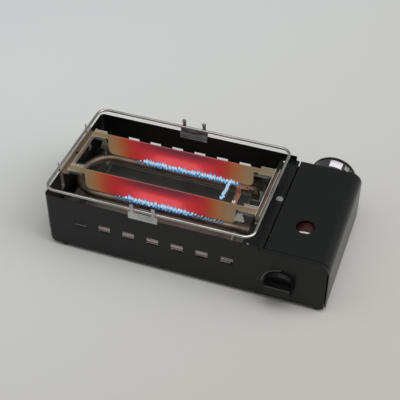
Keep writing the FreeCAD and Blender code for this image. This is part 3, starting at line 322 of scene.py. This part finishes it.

# %% [markdown]
# The drip tray is stainless steel, grey and glossy in the middle. A pressed step round its raised middle
# shows as a bright line, the flange is darker, and the strip by the front wall is dull and carries a painted
# shade, darkest at its left end; a thin painted highlight runs along the upper front edge. The step is a real
# fold; the line is only a painted highlight for the light on its edge, so it is drawn as a thin frame between
# two boxes of bands.

# %% Drip tray
STEP_INSET = 28.0
STEP_WIDE = 1.6
DULL_STRIP = (30.0, 72.0)
DARK_END = (58.0, 86.0)
EDGE_SHINES, EDGE_DIMS = (66.0, 76.0), (230.0, 244.0)
tray_low, tray_high = case_box("drip_tray")
TRAY_RIM = tray_high[2]


def tray_box(x, y, inset):
    """1 inside the tray's outline drawn in by an inset."""
    across = x.within(tray_low[0] + inset, tray_high[0] - inset, 0.3)
    return across * y.within(tray_low[1] + inset, tray_high[1] - inset, 0.3)


def tray_steel():
    finish = Finish("tray_finish")
    x, y, z = finish.case_axes()
    fine = finish.noise(1.0, 4.0, 0.7, finish.stretched(*TUBE_GRAIN))
    slow = finish.noise(24.0, 3.0)
    # Painted highlight: a thin bright frame round the raised middle, for the light on the step's edge.
    step = tray_box(x, y, STEP_INSET) - tray_box(x, y, STEP_INSET + STEP_WIDE)
    # The flange is drawn darker, except along the front strip.
    flange = z.between(TRAY_RIM - 3.0, TRAY_RIM - 1.5)
    # Painted shade: the strip by the front wall is greyed, less metallic and rougher, as the shade under that
    # wall.
    strip = 1.0 - y.between(*DULL_STRIP)
    # Painted shade: darker still at the strip's left end, in the corner by the left wall.
    left_end_shade = 1.0 - x.between(*DARK_END)
    # Painted highlight: a thin pale line along the upper front edge, bright from the left part on and half as
    # bright near the right.
    edge = (1.0 - y.between(tray_low[1] + 2.0, tray_low[1] + 3.6)) * z.between(TRAY_RIM - 4.0, TRAY_RIM - 2.0)
    highlight_run = x.between(*EDGE_SHINES) * (1.0 - x.between(*EDGE_DIMS) * 0.5)
    color = finish.mix(slow.between(0.3, 0.7) * 0.6, srgb(148, 147, 140), srgb(124, 123, 117))
    color = finish.tinted(color, (step, (214, 212, 204)), (strip * 0.9, (126, 125, 123)),
                          (flange * (1.0 - strip), (70, 67, 64)), (strip * left_end_shade, (44, 43, 41)),
                          (edge * highlight_run, (180, 169, 167)), (fine.between(0.45, 0.75) * 0.2, (70, 68, 64)))
    return finish.set(color=color, metal=1.0 - strip * 0.6, rough=fine * 0.12 + strip * 0.3 + 0.24,
                      normal=finish.bump(fine, 0.10))


tray_finish = tray_steel()
print("tray rim at", round(TRAY_RIM, 1))

# %% [markdown]
# The radiant sheets are red hot in the middle. The colour of the glow follows the length and the height of
# the sheet: tan at both ends, brown and orange next, then red, with the brightest band low down, just over
# the flames, and a dull purple red along the top edge. The tan at the cool ends is painted light: there the
# glow stands for the lit colour of the steel, not for heat. A real sheet is never even, so a slow noise
# pushes the whole pattern to and fro. A red lamp behind it would colour the case as well, so the glow is an
# emission of the sheet's own.

# %% Glowing sheets
WARM_FROM, WARM_TO = (30.0, 88.0), (204.0, 262.0)
CORE_FROM, CORE_TO = (62.0, 130.0), (170.0, 232.0)
HEAT_DRIFT = 22.0


def hot_sheet(name, node):
    finish = Finish(name)
    x, _, z = finish.case_axes()
    low, high = case_box(node)
    along = x + (finish.noise(26.0, 2.0) - 0.5) * HEAT_DRIFT
    up = (z - low[2]) / (high[2] - low[2])
    warm = along.between(*WARM_FROM) * (1.0 - along.between(*WARM_TO))
    core = along.between(*CORE_FROM) * (1.0 - along.between(*CORE_TO))
    heat = core * (1.0 - up.between(0.25, 1.0) * 0.75)
    # Painted light: the cool ends glow tan, the colour that lit steel shows, though no heat makes them glow.
    tan = finish.mix(finish.noise(40.0, 2.0), srgb(112, 92, 66), srgb(140, 120, 92))
    glow = finish.tinted(tan,
                         (warm.between(0.0, 0.45), (146, 92, 54)),
                         (warm.between(0.30, 0.80), (156, 62, 38)),
                         (warm.between(0.65, 1.0), (172, 42, 44)),
                         (heat.between(0.15, 0.60), (194, 50, 58)),
                         (heat.between(0.60, 1.0), (232, 84, 90)),
                         (core * up.between(0.45, 0.90) * 0.85, (88, 42, 56)),
                         (core * (1.0 - up.between(0.0, 0.18)) * 0.6, (96, 36, 52)),
                         (up.between(0.975, 0.985) * warm * 0.6, (176, 104, 98)))
    return finish.set(color=finish.mix(warm, srgb(58, 48, 36), srgb(20, 9, 9)), metal=0.2, rough=0.5,
                      glow=glow, strength=0.85)


front_glow = hot_sheet("front_glow", "front_radiant_plate")
rear_glow = hot_sheet("rear_glow", "rear_radiant_plate")
print("glow from", WARM_FROM[0], "to", WARM_TO[1])

# %% [markdown]
# Small finishes: rubber feet, moulded plastic, ceramic, print and paper. They are even in colour,
# so a faint mottle and a fine grain in the gloss are enough.

# %% Moulded finishes


def moulded(name, tint, rough):
    finish = Finish(name)
    fine = finish.noise(1200.0, 2.0)
    slow = finish.noise(40.0, 2.0)
    color = finish.mix(slow * 0.6, srgb(*tint), srgb(*[min(255, c * 1.3 + 4) for c in tint]))
    return finish.set(color=color, rough=fine * 0.12 + rough, normal=finish.bump(fine, 0.10))


rubber = moulded("foot_rubber_finish", (24, 24, 24), 0.75)
mark_paint = moulded("mark_paint", (66, 68, 67), 0.5)
label_white = moulded("label_white", (196, 192, 198), 0.45)
label_grey = moulded("label_grey", (120, 119, 116), 0.45)
ceramic = moulded("ceramic_finish", (214, 208, 196), 0.22)
# Painted shade: the igniter lead's sleeve is dark grey, since it shows only in the dark gap beside the cover.
gap_shade_sleeve = moulded("lead_finish", (38, 36, 35), 0.55)
igniter_black = moulded("igniter_finish", (28, 28, 30), 0.35)
print("seven small finishes")

# %% [markdown]
# The knob is black plastic, darker than the enamel behind it. Along the upper front edge of its
# grip bar runs a thin pale line. A strip of its own would lift off the rounded edge, so a narrow
# band at the right height draws the line in the plastic.

# %% Knob
knob_low, knob_high = case_box("control_knob")
KNOB_X = (knob_low[0] + knob_high[0]) / 2
KNOB_Z = (knob_low[2] + knob_high[2]) / 2
GRIP_WIDE = 15.0
GRIP_TOP = KNOB_Z + GRIP_WIDE / 2


def knob_plastic():
    finish = Finish("knob_black")
    _, y, z = finish.case_axes()
    line = z.within(GRIP_TOP - 1.1, GRIP_TOP - 0.3, 0.15) * (1.0 - y.between(knob_low[1], knob_low[1] + 1.0))
    fine = finish.noise(1200.0, 2.0)
    color = finish.tinted(finish.mix(finish.noise(40.0, 2.0) * 0.6, srgb(6, 7, 7), srgb(11, 12, 12)),
                          (line, (104, 106, 104)))
    return finish.set(color=color, rough=fine * 0.12 + 0.26, normal=finish.bump(fine, 0.08), specular=0.25)


knob_black = knob_plastic()
print("knob at", round(KNOB_X, 1), round(KNOB_Z, 1))

# %% [markdown]
# The can is lacquered dark grey, with a wine red band under the sight hole, a thin pale ring beside
# it and a black rolled rim at the base. The can's faces could be cut and painted one by one, but
# rings that go all the way round need only their y, and stay sharp on any mesh.

# %% Can paint
RING_FROM, BAND_FROM, BAND_TO = 57.6, 60.4, 96.0
BASE_RIM = (221.6, 222.4)


def painted_can():
    finish = Finish("can_paint_finish")
    _, y, _ = finish.case_axes()
    fine = finish.noise(300.0, 2.0)
    grey = finish.mix(finish.noise(14.0), srgb(50, 51, 50), srgb(60, 60, 58))
    color = finish.tinted(grey, (y.within(BAND_FROM, BAND_TO, 0.5), (50, 18, 21)),
                          (y.within(RING_FROM, BAND_FROM, 0.3), (205, 200, 194)),
                          (y.between(*BASE_RIM), (16, 15, 13)))
    return finish.set(color=color, rough=fine * 0.1 + 0.28, metal=0.2, normal=finish.bump(fine, 0.02))


can_paint = painted_can()
print("can band from", BAND_FROM, "to", BAND_TO)

# %% [markdown]
# A folded sheet never has knife edges: the press leaves a small radius that catches the light. A
# Bevel modifier gives it, but loose CAD triangles would stop it short. So each dressed copy is
# welded first and its flat regions are dissolved, and only sharp edges are rounded. Weighted
# normals keep the large flat faces flat beside the new radius. The other pieces are round, small or
# hidden, so they keep their own mesh and only get a finish.

# %% Dressed copies


def made(name, form, material):
    """Turn a bmesh into a linked object with one material."""
    mesh = bpy.data.meshes.new(name)
    form.to_mesh(mesh)
    form.free()
    mesh.materials.append(material)
    piece = bpy.data.objects.new(name, mesh)
    bpy.context.scene.collection.objects.link(piece)
    return piece


WELD = 0.002 * MM
FLAT_ANGLE = math.radians(0.5)
SHARP_ANGLE = math.radians(35.0)


def dressed(node, material, bevel):
    """A copy of a node with softened edges that replaces it; the bevel is in millimetres."""
    form = bmesh.new()
    form.from_mesh(nodes[node].data)
    bmesh.ops.remove_doubles(form, verts=form.verts, dist=WELD)
    bmesh.ops.dissolve_limit(form, angle_limit=FLAT_ANGLE, verts=form.verts, edges=form.edges)
    for face in form.faces:
        face.smooth = True
        face.material_index = 0
    piece = made(node + "_dressed", form, material)
    soften = piece.modifiers.new("SoftEdges", "BEVEL")
    soften.width = bevel * MM
    soften.segments = 2
    soften.limit_method = "ANGLE"
    soften.angle_limit = SHARP_ANGLE
    smoother = piece.modifiers.new("FlatFaces", "WEIGHTED_NORMAL")
    smoother.keep_sharp = True
    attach(piece, body_of_node[node])
    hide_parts(node)


# Each node with its finish, its bevel in millimetres and its slot.
DRESSED = {
    "case_shell": (enamel, 0.35, "black_enamel"), "cassette_cover": (enamel, 0.4, "black_enamel"),
    "deck_plate": (enamel, 0.35, "black_enamel"), "tray_pull": (enamel, 0.4, "black_enamel"),
    "front_clip": (plain_steel, 0.2, "clip_steel"), "rear_clip": (dull_steel, 0.2, "tinted_steel"),
    "left_bracket": (pale_steel, 0.2, "tinted_steel"), "right_bracket": (pale_steel, 0.2, "tinted_steel"),
    "front_radiant_plate": (front_glow, 0.3, "glowing_steel"),
    "rear_radiant_plate": (rear_glow, 0.3, "glowing_steel"),
    "cross_lighting_strip": (burner_steel, 0.15, "burner_steel"), "deck_screw": (zinc, 0.25, "zinc_steel"),
    "feet": (rubber, 0.5, "foot_rubber"), "electrode_bracket": (pink_steel, 0.2, "tinted_steel"),
    "control_knob": (knob_black, 0.7, "knob_plastic"), "drip_tray": (tray_finish, 0.3, "tray_steel"),
}
# The nodes that keep their own mesh, each with its finish.
CARRIED = {
    "base_plate": zinc, "deck_rivets": bright_rod, "hinge_knuckles": enamel, "hinge_pins": enamel,
    "wire_frame": bright_rod, "burner_tube": burner_steel, "mixing_tube": burner_steel, "gas_nozzle": brass,
    "partition_wall": enamel_inside, "heat_shield": zinc, "tray_rails": zinc, "burner_stays": dull_steel,
    "gas_can": can_paint, "can_collar": zinc, "can_stem": brass, "magnet_ring": zinc, "regulator_body": alloy,
    "valve_shaft": zinc, "dial_ring": mark_paint, "gas_pipe": gap_shade_brass, "can_cradle": zinc,
    "piezo_igniter": igniter_black, "electrode_insulator": ceramic, "electrode_needle": bright_rod,
    "igniter_lead": gap_shade_sleeve, "bracket_screws": zinc,
}
for node, finish in CARRIED.items():
    nodes[node].data.materials.clear()
    nodes[node].data.materials.append(finish)
for node, (finish, bevel, slot) in DRESSED.items():
    dressed(node, finish, bevel)
print("dressed", len(DRESSED), "carried over", len(CARRIED))

# %% [markdown]
# What repeats by a rule could be copied in a Python loop, but Geometry Nodes grow it in one tree,
# and its sizes and its seed stay as named inputs. A Growth holds such a tree. It ends in Realize
# Instances and Set Material, because an export drops instances, and the result is taken out as a
# plain mesh, so that nothing live is left on the piece.

# %% Geometry Nodes helper


class Growth:
    """A Geometry Nodes tree in the making, with named inputs."""

    KINDS = {int: "NodeSocketInt", float: "NodeSocketFloat", Vector: "NodeSocketVector"}

    def __init__(self, name, inputs):
        self.tree = bpy.data.node_groups.new(name, "GeometryNodeTree")
        self.tree.interface.new_socket("Geometry", in_out="INPUT", socket_type="NodeSocketGeometry")
        self.tree.interface.new_socket("Geometry", in_out="OUTPUT", socket_type="NodeSocketGeometry")
        self.values = {}
        for label, value in inputs.items():
            kind = self.KINDS[type(value)]
            socket = self.tree.interface.new_socket(label, in_out="INPUT", socket_type=kind)
            self.values[socket.identifier] = value
        self.entry = self.tree.nodes.new("NodeGroupInput")
        self.exit = self.tree.nodes.new("NodeGroupOutput")

    def given(self, label):
        return self.entry.outputs[label]

    def node(self, kind, settings=(), values=(), out=0):
        node = self.tree.nodes.new(kind)
        for key, value in dict(settings).items():
            setattr(node, key, value)
        for key, value in dict(values).items():
            if isinstance(value, bpy.types.NodeSocket):
                self.tree.links.new(value, node.inputs[key])
            else:
                node.inputs[key].default_value = value
        return node.outputs[out]

    def number(self, operation, *terms):
        return self.node("ShaderNodeMath", {"operation": operation}, enumerate(terms))

    def vector(self, operation, *terms):
        return self.node("ShaderNodeVectorMath", {"operation": operation}, enumerate(terms))

    def grown(self, geometry, material, name):
        """Realize the instances, set the material, and return the result as a plain mesh object."""
        real = self.node("GeometryNodeRealizeInstances", (), {"Geometry": geometry})
        done = self.node("GeometryNodeSetMaterial", (), {"Geometry": real, "Material": material})
        self.tree.links.new(done, self.exit.inputs["Geometry"])
        seed = bpy.data.objects.new(name + "_seed", bpy.data.meshes.new(name + "_seed"))
        bpy.context.scene.collection.objects.link(seed)
        growth = seed.modifiers.new("Growth", "NODES")
        growth.node_group = self.tree
        for identifier, value in self.values.items():
            growth[identifier] = value
        depsgraph = bpy.context.evaluated_depsgraph_get()
        mesh = bpy.data.meshes.new_from_object(seed.evaluated_get(depsgraph), depsgraph=depsgraph)
        mesh.name = name
        bpy.data.objects.remove(seed)
        piece = bpy.data.objects.new(name, mesh)
        bpy.context.scene.collection.objects.link(piece)
        return piece


print("growth helper ready")

# %% [markdown]
# Gas burns in small blue drops, deep blue at the port, nearly white in the middle and blue again at
# the tip. A volume would be nearer to real fire, but it can't be exported, so each flame is a skin
# that glows. The skin itself is almost black, so that the lamps hardly add to it, and a quick noise
# shifts the colours, so that no two flames are alike.

# %% Flame finish
FLAME_FOOT = 67.5
FLAME_RISE = 11.0


def flame_finish():
    finish = Finish("flame_finish")
    _, _, z = finish.case_axes()
    rise = (z - FLAME_FOOT) / FLAME_RISE + (finish.noise(420.0, 2.0) - 0.5) * 0.9
    glow = finish.tinted(srgb(38, 78, 128),
                         (rise.between(-0.15, 0.20), (84, 148, 196)),
                         (rise.between(0.15, 0.45), (186, 212, 230)),
                         (rise.between(0.50, 0.85), (78, 128, 188)))
    return finish.set(color=srgb(10, 14, 22), rough=1.0, glow=glow, strength=1.0, specular=0.0)


flame_blue = flame_finish()
print("flame finish ready")

# %% [markdown]
# Each leg of the burner has rows of ports along both faces of its sheet, and the strip between the
# legs has one more. Over two hundred flames are too many to place by hand, and copies of one would
# look like a comb. So a row is a line of points with a small seeded drift and one drop on each
# point: the drops shrink towards the ends of the row, where the gas is weaker, and chance makes
# each a little taller or lower. Each row is one tree, and stays one piece.

# %% Flame rows
FLAME_DRIFT = (0.9 * MM, 0.7 * MM, 0.7 * MM)
SMALLEST, TALLEST = 0.6, 1.25
FIRST_SIZE, LAST_SIZE = 0.25, 0.3
DROP_GIRTH, DROP_TAPER = 0.68, -0.26
DROP_LIFT, DROP_SQUASH = 0.85, 0.54


def flame_drop(growth):
    """A ball drawn into a drop: slimmer towards its top, one unit tall, and standing near the origin."""
    ball = growth.node("GeometryNodeMeshUVSphere", (), {"Segments": 10, "Rings": 8, "Radius": 1.0})
    place = growth.node("GeometryNodeInputPosition")
    up = growth.node("ShaderNodeSeparateXYZ", (), {0: place}, out=2)
    slim = growth.number("MULTIPLY_ADD", up, DROP_TAPER, DROP_GIRTH)
    thin = growth.node("ShaderNodeCombineXYZ", (), {0: slim, 1: slim, 2: 1.0})
    drop = growth.vector("ADD", growth.vector("MULTIPLY", place, thin), (0.0, 0.0, DROP_LIFT))
    drop = growth.vector("MULTIPLY", drop, (1.0, 1.0, DROP_SQUASH))
    return growth.node("GeometryNodeSetPosition", (), {"Geometry": ball, "Position": drop})


def flame_row(name, start, step, count, tall, wide, grow, fade, seed):
    """A row of flames, sized in millimetres; they grow and fade between the given port numbers."""
    growth = Growth(name + "_tree", {"Count": count, "Start": spot(*start), "Step": Vector(step) * MM,
                                     "Tall": tall * MM, "Wide": wide * MM, "Seed": seed})
    line = growth.node("GeometryNodeMeshLine", {"mode": "OFFSET"},
                       {"Count": growth.given("Count"), "Start Location": growth.given("Start"),
                        "Offset": growth.given("Step")})
    number = growth.node("GeometryNodeInputIndex")
    drift = growth.node("FunctionNodeRandomValue", {"data_type": "FLOAT_VECTOR"},
                        {0: [-d for d in FLAME_DRIFT], 1: FLAME_DRIFT, "ID": number,
                         "Seed": growth.given("Seed")})
    line = growth.node("GeometryNodeSetPosition", (), {"Geometry": line, "Offset": drift})
    into = growth.node("ShaderNodeMapRange", {"interpolation_type": "SMOOTHSTEP"},
                       {"Value": number, "From Min": grow[0], "From Max": grow[1], "To Min": FIRST_SIZE})
    away = growth.node("ShaderNodeMapRange", {"interpolation_type": "SMOOTHSTEP"},
                       {"Value": number, "From Min": fade[0], "From Max": fade[1], "To Min": 1.0,
                        "To Max": LAST_SIZE})
    chance = growth.node("FunctionNodeRandomValue", {"data_type": "FLOAT"},
                         {2: SMALLEST, 3: TALLEST, "ID": number, "Seed": growth.given("Seed")}, out=1)
    strength = growth.number("MULTIPLY", into, away)
    height = growth.number("MULTIPLY", growth.number("MULTIPLY", strength, chance), growth.given("Tall"))
    width = growth.number("MULTIPLY", growth.number("POWER", strength, 0.5), growth.given("Wide"))
    size = growth.node("ShaderNodeCombineXYZ", (), {0: width, 1: width, 2: height})
    flames = growth.node("GeometryNodeInstanceOnPoints", (),
                         {"Points": line, "Instance": flame_drop(growth), "Scale": size})
    piece = growth.grown(flames, flame_blue, name)
    for polygon in piece.data.polygons:
        polygon.use_smooth = True
    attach(piece, "case")


FIRST_PORT = 84.0
PORT_PITCH = 5.0
ALONG = (PORT_PITCH, 0.0, 0.0)
ACROSS = (0.0, -4.4, 0.0)
BETWEEN = FIRST_PORT + PORT_PITCH / 2
# Name, first flame, step, how many, height, width, where they grow, where they fade, and the seed.
FLAME_ROWS = [
    ("rear_flames_front", (FIRST_PORT, 138.2, 68.4), ALONG, 33, 7.6, 3.3, (0, 4), (30, 32), 3),
    ("rear_flames_low", (BETWEEN, 136.4, 66.8), ALONG, 32, 5.2, 2.9, (1, 5), (28, 32), 13),
    ("rear_flames_back", (FIRST_PORT, 144.4, 68.0), ALONG, 33, 8.5, 3.4, (0, 3), (29, 32), 5),
    ("front_flames_front", (FIRST_PORT, 55.2, 68.4), ALONG, 33, 7.2, 3.3, (0, 4), (21, 25), 7),
    ("front_flames_low", (BETWEEN, 53.4, 66.8), ALONG, 32, 4.8, 2.9, (1, 5), (20, 24), 17),
    ("front_flames_back", (FIRST_PORT, 61.4, 68.0), ALONG, 33, 8.0, 3.4, (0, 3), (22, 26), 9),
    ("cross_flames", (228.2, 135.0, 68.8), ACROSS, 9, 5.6, 3.3, (-4, -2), (8, 12), 11),
]
for row in FLAME_ROWS:
    flame_row(*row)
print(len(FLAME_ROWS), "rows of flames")

# %% [markdown]
# Sheet details too fine for the construction model: the hemmed leaf that hangs inside the rear wall
# under its clip, and the rolled ends of the rear prongs. Each is one profile, a line of points in the
# YZ plane, drawn out along X, so one function makes them all. Solidify then gives the sheet its
# wall, which is easier than modelling both of its faces.

# %% Rolled and hemmed sheet
CLIP_WALL = 0.5
CLIP_INNER = 195.4
LEAF_TOP, LEAF_FOOT = 94.6, 83.4
FOLDS = (93.0, 89.6, 86.2)
FOLD_OUT = 0.9
FOLD_STEPS = (0.5, 1.3, 1.8)
CURL_Y, CURL_Z = 197.1, 114.2
CURL_RADIUS, CURL_WIDE, CURL_TURN = 1.4, 5.0, 250
PRONG_LEFT, PRONG_RIGHT = 3.2, 8.2


def drawn_sheet(name, profile, x_from, x_to):
    """A profile of (y, z) points in millimetres drawn along X and given a wall thickness."""
    form = bmesh.new()
    ends = [[form.verts.new(spot(x, y, z)) for y, z in profile] for x in (x_from, x_to)]
    for i in range(len(profile) - 1):
        form.faces.new((ends[0][i], ends[1][i], ends[1][i + 1], ends[0][i + 1]))
    piece = made(name, form, dull_steel)
    thicken = piece.modifiers.new("Wall", "SOLIDIFY")
    thicken.thickness = CLIP_WALL * MM
    thicken.offset = 0.0
    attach(piece, "case")


def arc(across, up, radius, turn, steps):
    """Points of an arc about (across, up) that starts level and goes through a turn, in degrees."""
    angles = [math.radians(turn * i / steps) for i in range(steps + 1)]
    return [(across + radius * math.cos(a), up + radius * math.sin(a)) for a in angles]


(clip_left, _, _), (clip_right, _, _) = case_box("rear_clip")
leaf = [(CLIP_INNER, LEAF_TOP)]
for top in FOLDS:
    leaf += [(CLIP_INNER, top), (CLIP_INNER - FOLD_OUT, top - FOLD_STEPS[0]),
             (CLIP_INNER - FOLD_OUT, top - FOLD_STEPS[1]), (CLIP_INNER, top - FOLD_STEPS[2])]
leaf.append((CLIP_INNER, LEAF_FOOT))
drawn_sheet("rear_clip_hem", leaf, clip_left, clip_right)
curl = arc(CURL_Y, CURL_Z, CURL_RADIUS, CURL_TURN, 14)
for number, left in enumerate((clip_left + PRONG_LEFT, clip_right - PRONG_RIGHT), start=1):
    drawn_sheet("rear_clip_curl_%d" % number, curl, left, left + CURL_WIDE)
print("rear clip dressed from", round(clip_left, 1), "to", round(clip_right, 1))

# %% [markdown]
# Two plain paper stickers sit on the can just before its base rim. A flat patch would cut into the
# round wall, so a sticker is a patch in polar coordinates, a hair outside the wall, and Solidify
# gives it the thickness of paper.

# %% Stickers on the can
PAPER = 0.1
STICKER_LIFT = 0.12


def sticker(name, angles, run, material, steps=10):
    """A patch on the can: angles from the top in degrees, run from y to y in millimetres."""
    low, high = case_box("gas_can")
    middle_x, middle_z = (low[0] + high[0]) / 2, (low[2] + high[2]) / 2
    radius = (high[0] - low[0]) / 2 + STICKER_LIFT
    form = bmesh.new()
    rows = []
    for i in range(steps + 1):
        a = math.radians(angles[0] + (angles[1] - angles[0]) * i / steps)
        x, z = middle_x + radius * math.sin(a), middle_z + radius * math.cos(a)
        rows.append([form.verts.new(spot(x, y, z)) for y in run])
    for one, two in zip(rows, rows[1:]):
        face = form.faces.new((one[0], two[0], two[1], one[1]))
        face.smooth = True
    piece = made(name, form, material)
    thicken = piece.modifiers.new("Paper", "SOLIDIFY")
    thicken.thickness = PAPER * MM
    thicken.offset = -1.0
    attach(piece, "can")


sticker("can_label_white", (-9.0, 23.0), (205.0, 219.5), label_white)
sticker("can_label_grey", (30.0, 43.0), (209.5, 219.0), label_grey)
print("two stickers")

# %% [markdown]
# The dial's printed marks: a dot and a dash at the off place, and a short tick at the top. They
# could be painted into the enamel, but a small outline is easier to place and keeps its sharp edge.
# Print has hardly any thickness, so each is extruded back to the wall by a tenth of a millimetre.

# %% Dial marks
PRINT_PROUD = 0.1
DOT_X, DOT_RADIUS = KNOB_X - 26.4, 0.9
DASH_FROM, DASH_TO, DASH_HALF = DOT_X - 5.8, DOT_X - 2.0, 0.3
TICK_FROM, TICK_TO, TICK_HALF = KNOB_Z + 24.8, KNOB_Z + 27.0, 0.5


def print_mark(name, outline):
    """A closed outline of (x, z) points in millimetres that stands a little proud of the front wall."""
    form = bmesh.new()
    face = form.faces.new([form.verts.new(spot(x, -PRINT_PROUD, z)) for x, z in outline])
    sides = bmesh.ops.extrude_face_region(form, geom=[face])["geom"]
    for vertex in [part for part in sides if isinstance(part, bmesh.types.BMVert)]:
        vertex.co.y += PRINT_PROUD * MM
    bmesh.ops.recalc_face_normals(form, faces=form.faces)
    piece = made(name, form, mark_paint)
    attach(piece, "case")


def oblong(left, right, low, high):
    return [(left, low), (right, low), (right, high), (left, high)]


print_mark("off_dot", arc(DOT_X, KNOB_Z, DOT_RADIUS, 342, 19))
print_mark("off_dash", oblong(DASH_FROM, DASH_TO, KNOB_Z - DASH_HALF, KNOB_Z + DASH_HALF))
print_mark("top_tick", oblong(KNOB_X - TICK_HALF, KNOB_X + TICK_HALF, TICK_FROM, TICK_TO))
print("three marks round the dial")

# %% [markdown]
# The camera stands where the solved view of the photograph puts it: straight edges of the case were
# matched to their real sizes. A real place and focal length give the photograph's own perspective,
# which moving the camera by eye can't.

# %% Camera
CAMERA_AT = (531.2, -849.0, 971.4)
CAMERA_AZIMUTH = math.radians(19.486)
CAMERA_HEIGHT = math.radians(42.260)
FOCAL_PIXELS = 943.95
FRAME_PIXELS = 400

camera_data = bpy.data.cameras.new("camera")
camera_data.sensor_width = 36.0
camera_data.lens = FOCAL_PIXELS / FRAME_PIXELS * camera_data.sensor_width
camera = bpy.data.objects.new("camera", camera_data)
bpy.context.scene.collection.objects.link(camera)
flat = math.cos(CAMERA_HEIGHT)
look = Vector((-math.sin(CAMERA_AZIMUTH) * flat, math.cos(CAMERA_AZIMUTH) * flat, -math.sin(CAMERA_HEIGHT)))
camera.location = spot(*CAMERA_AT)
camera.rotation_mode = "QUATERNION"
camera.rotation_quaternion = look.to_track_quat("-Z", "Y")
bpy.context.scene.camera = camera
print("lens", round(camera_data.lens, 2))

# %% [markdown]
# The floor is pale, and a painted shade makes it a little darker to the right, as in the photograph. A
# backdrop would stand in the way of views from behind, and a floor that just ends shows a hard horizon in low
# views. So far off, this one fades into the grey of the world. Only the camera and glossy surfaces see that
# haze, and it throws no light on the grill.

# %% Floor
WORLD_GREY = srgb(225, 226, 226)
WORLD_STRENGTH = 0.40
FLOOR_HALF = 20.0
HAZE_FROM, HAZE_TO = 1.4, 3.4
RIGHT_X, RIGHT_Y = 0.85, 0.53
SHADE_HALF = 0.75


def floor_finish():
    finish = Finish("floor_finish")
    x, y, _ = finish.case_axes()
    # Painted shade: the floor's colour darkens towards the right.
    right = (x * RIGHT_X - y * RIGHT_Y) / 1000.0
    color = finish.mix(right.between(-SHADE_HALF, SHADE_HALF), srgb(209, 212, 212), srgb(171, 168, 162))
    finish.set(color=color, rough=0.9, specular=0.2)
    away = finish.node("VectorMath", {"operation": "LENGTH"}, {0: finish.place()}, out=1)
    camera_ray = finish.node("LightPath", out="Is Camera Ray")
    glossy_ray = finish.node("LightPath", out="Is Glossy Ray")
    plain = Term(finish.tree, finish.shader.outputs[0])
    haze = finish.node("Emission", (), {"Color": WORLD_GREY, "Strength": WORLD_STRENGTH})
    share = away.between(HAZE_FROM, HAZE_TO) * (camera_ray + glossy_ray)
    faded = finish.node("MixShader")
    for slot, part in zip(faded.socket.node.inputs, (share, plain, haze)):
        finish.tree.links.new(part.socket, slot)
    finish.tree.links.new(faded.socket, finish.tree.nodes["Material Output"].inputs["Surface"])
    return finish.material


ground = bmesh.new()
bmesh.ops.create_grid(ground, x_segments=1, y_segments=1, size=FLOOR_HALF)
floor = made("floor", ground, floor_finish())
print("floor fades from", HAZE_FROM, "to", HAZE_TO, "metres")

# %% [markdown]
# Soft light at a plain level. A large lamp in front and above lights the top, a wide one on the
# right draws the cover's bend and the can, and a weak one on the left fills the front. Small lamps
# would give hard shadows and sharp glints, and large square ones give the soft shadow of a studio.
# The view transform is Standard, so that a colour renders about as it is written.

# %% Light


def soft_lamp(name, at, size, power):
    """A square lamp that faces the grill: its place and size in metres, its power in watts."""
    data = bpy.data.lights.new(name, "AREA")
    data.shape = "SQUARE"
    data.size = size
    data.energy = power
    lamp = bpy.data.objects.new(name, data)
    lamp.location = at
    lamp.rotation_mode = "QUATERNION"
    lamp.rotation_quaternion = (-Vector(at)).to_track_quat("-Z", "Y")
    bpy.context.scene.collection.objects.link(lamp)


soft_lamp("key_lamp", (0.35, -0.35, 2.1), 1.8, 27.0)
soft_lamp("fill_lamp", (-1.4, -0.6, 1.6), 1.8, 8.0)
soft_lamp("side_lamp", (1.8, 0.2, 1.4), 2.0, 30.0)
world = bpy.data.worlds.new("studio")
world.use_nodes = True
sky = world.node_tree.nodes["Background"]
sky.inputs["Color"].default_value = (*WORLD_GREY, 1.0)
sky.inputs["Strength"].default_value = WORLD_STRENGTH
bpy.context.scene.world = world
bpy.context.scene.view_settings.view_transform = "Standard"
print("three lamps")
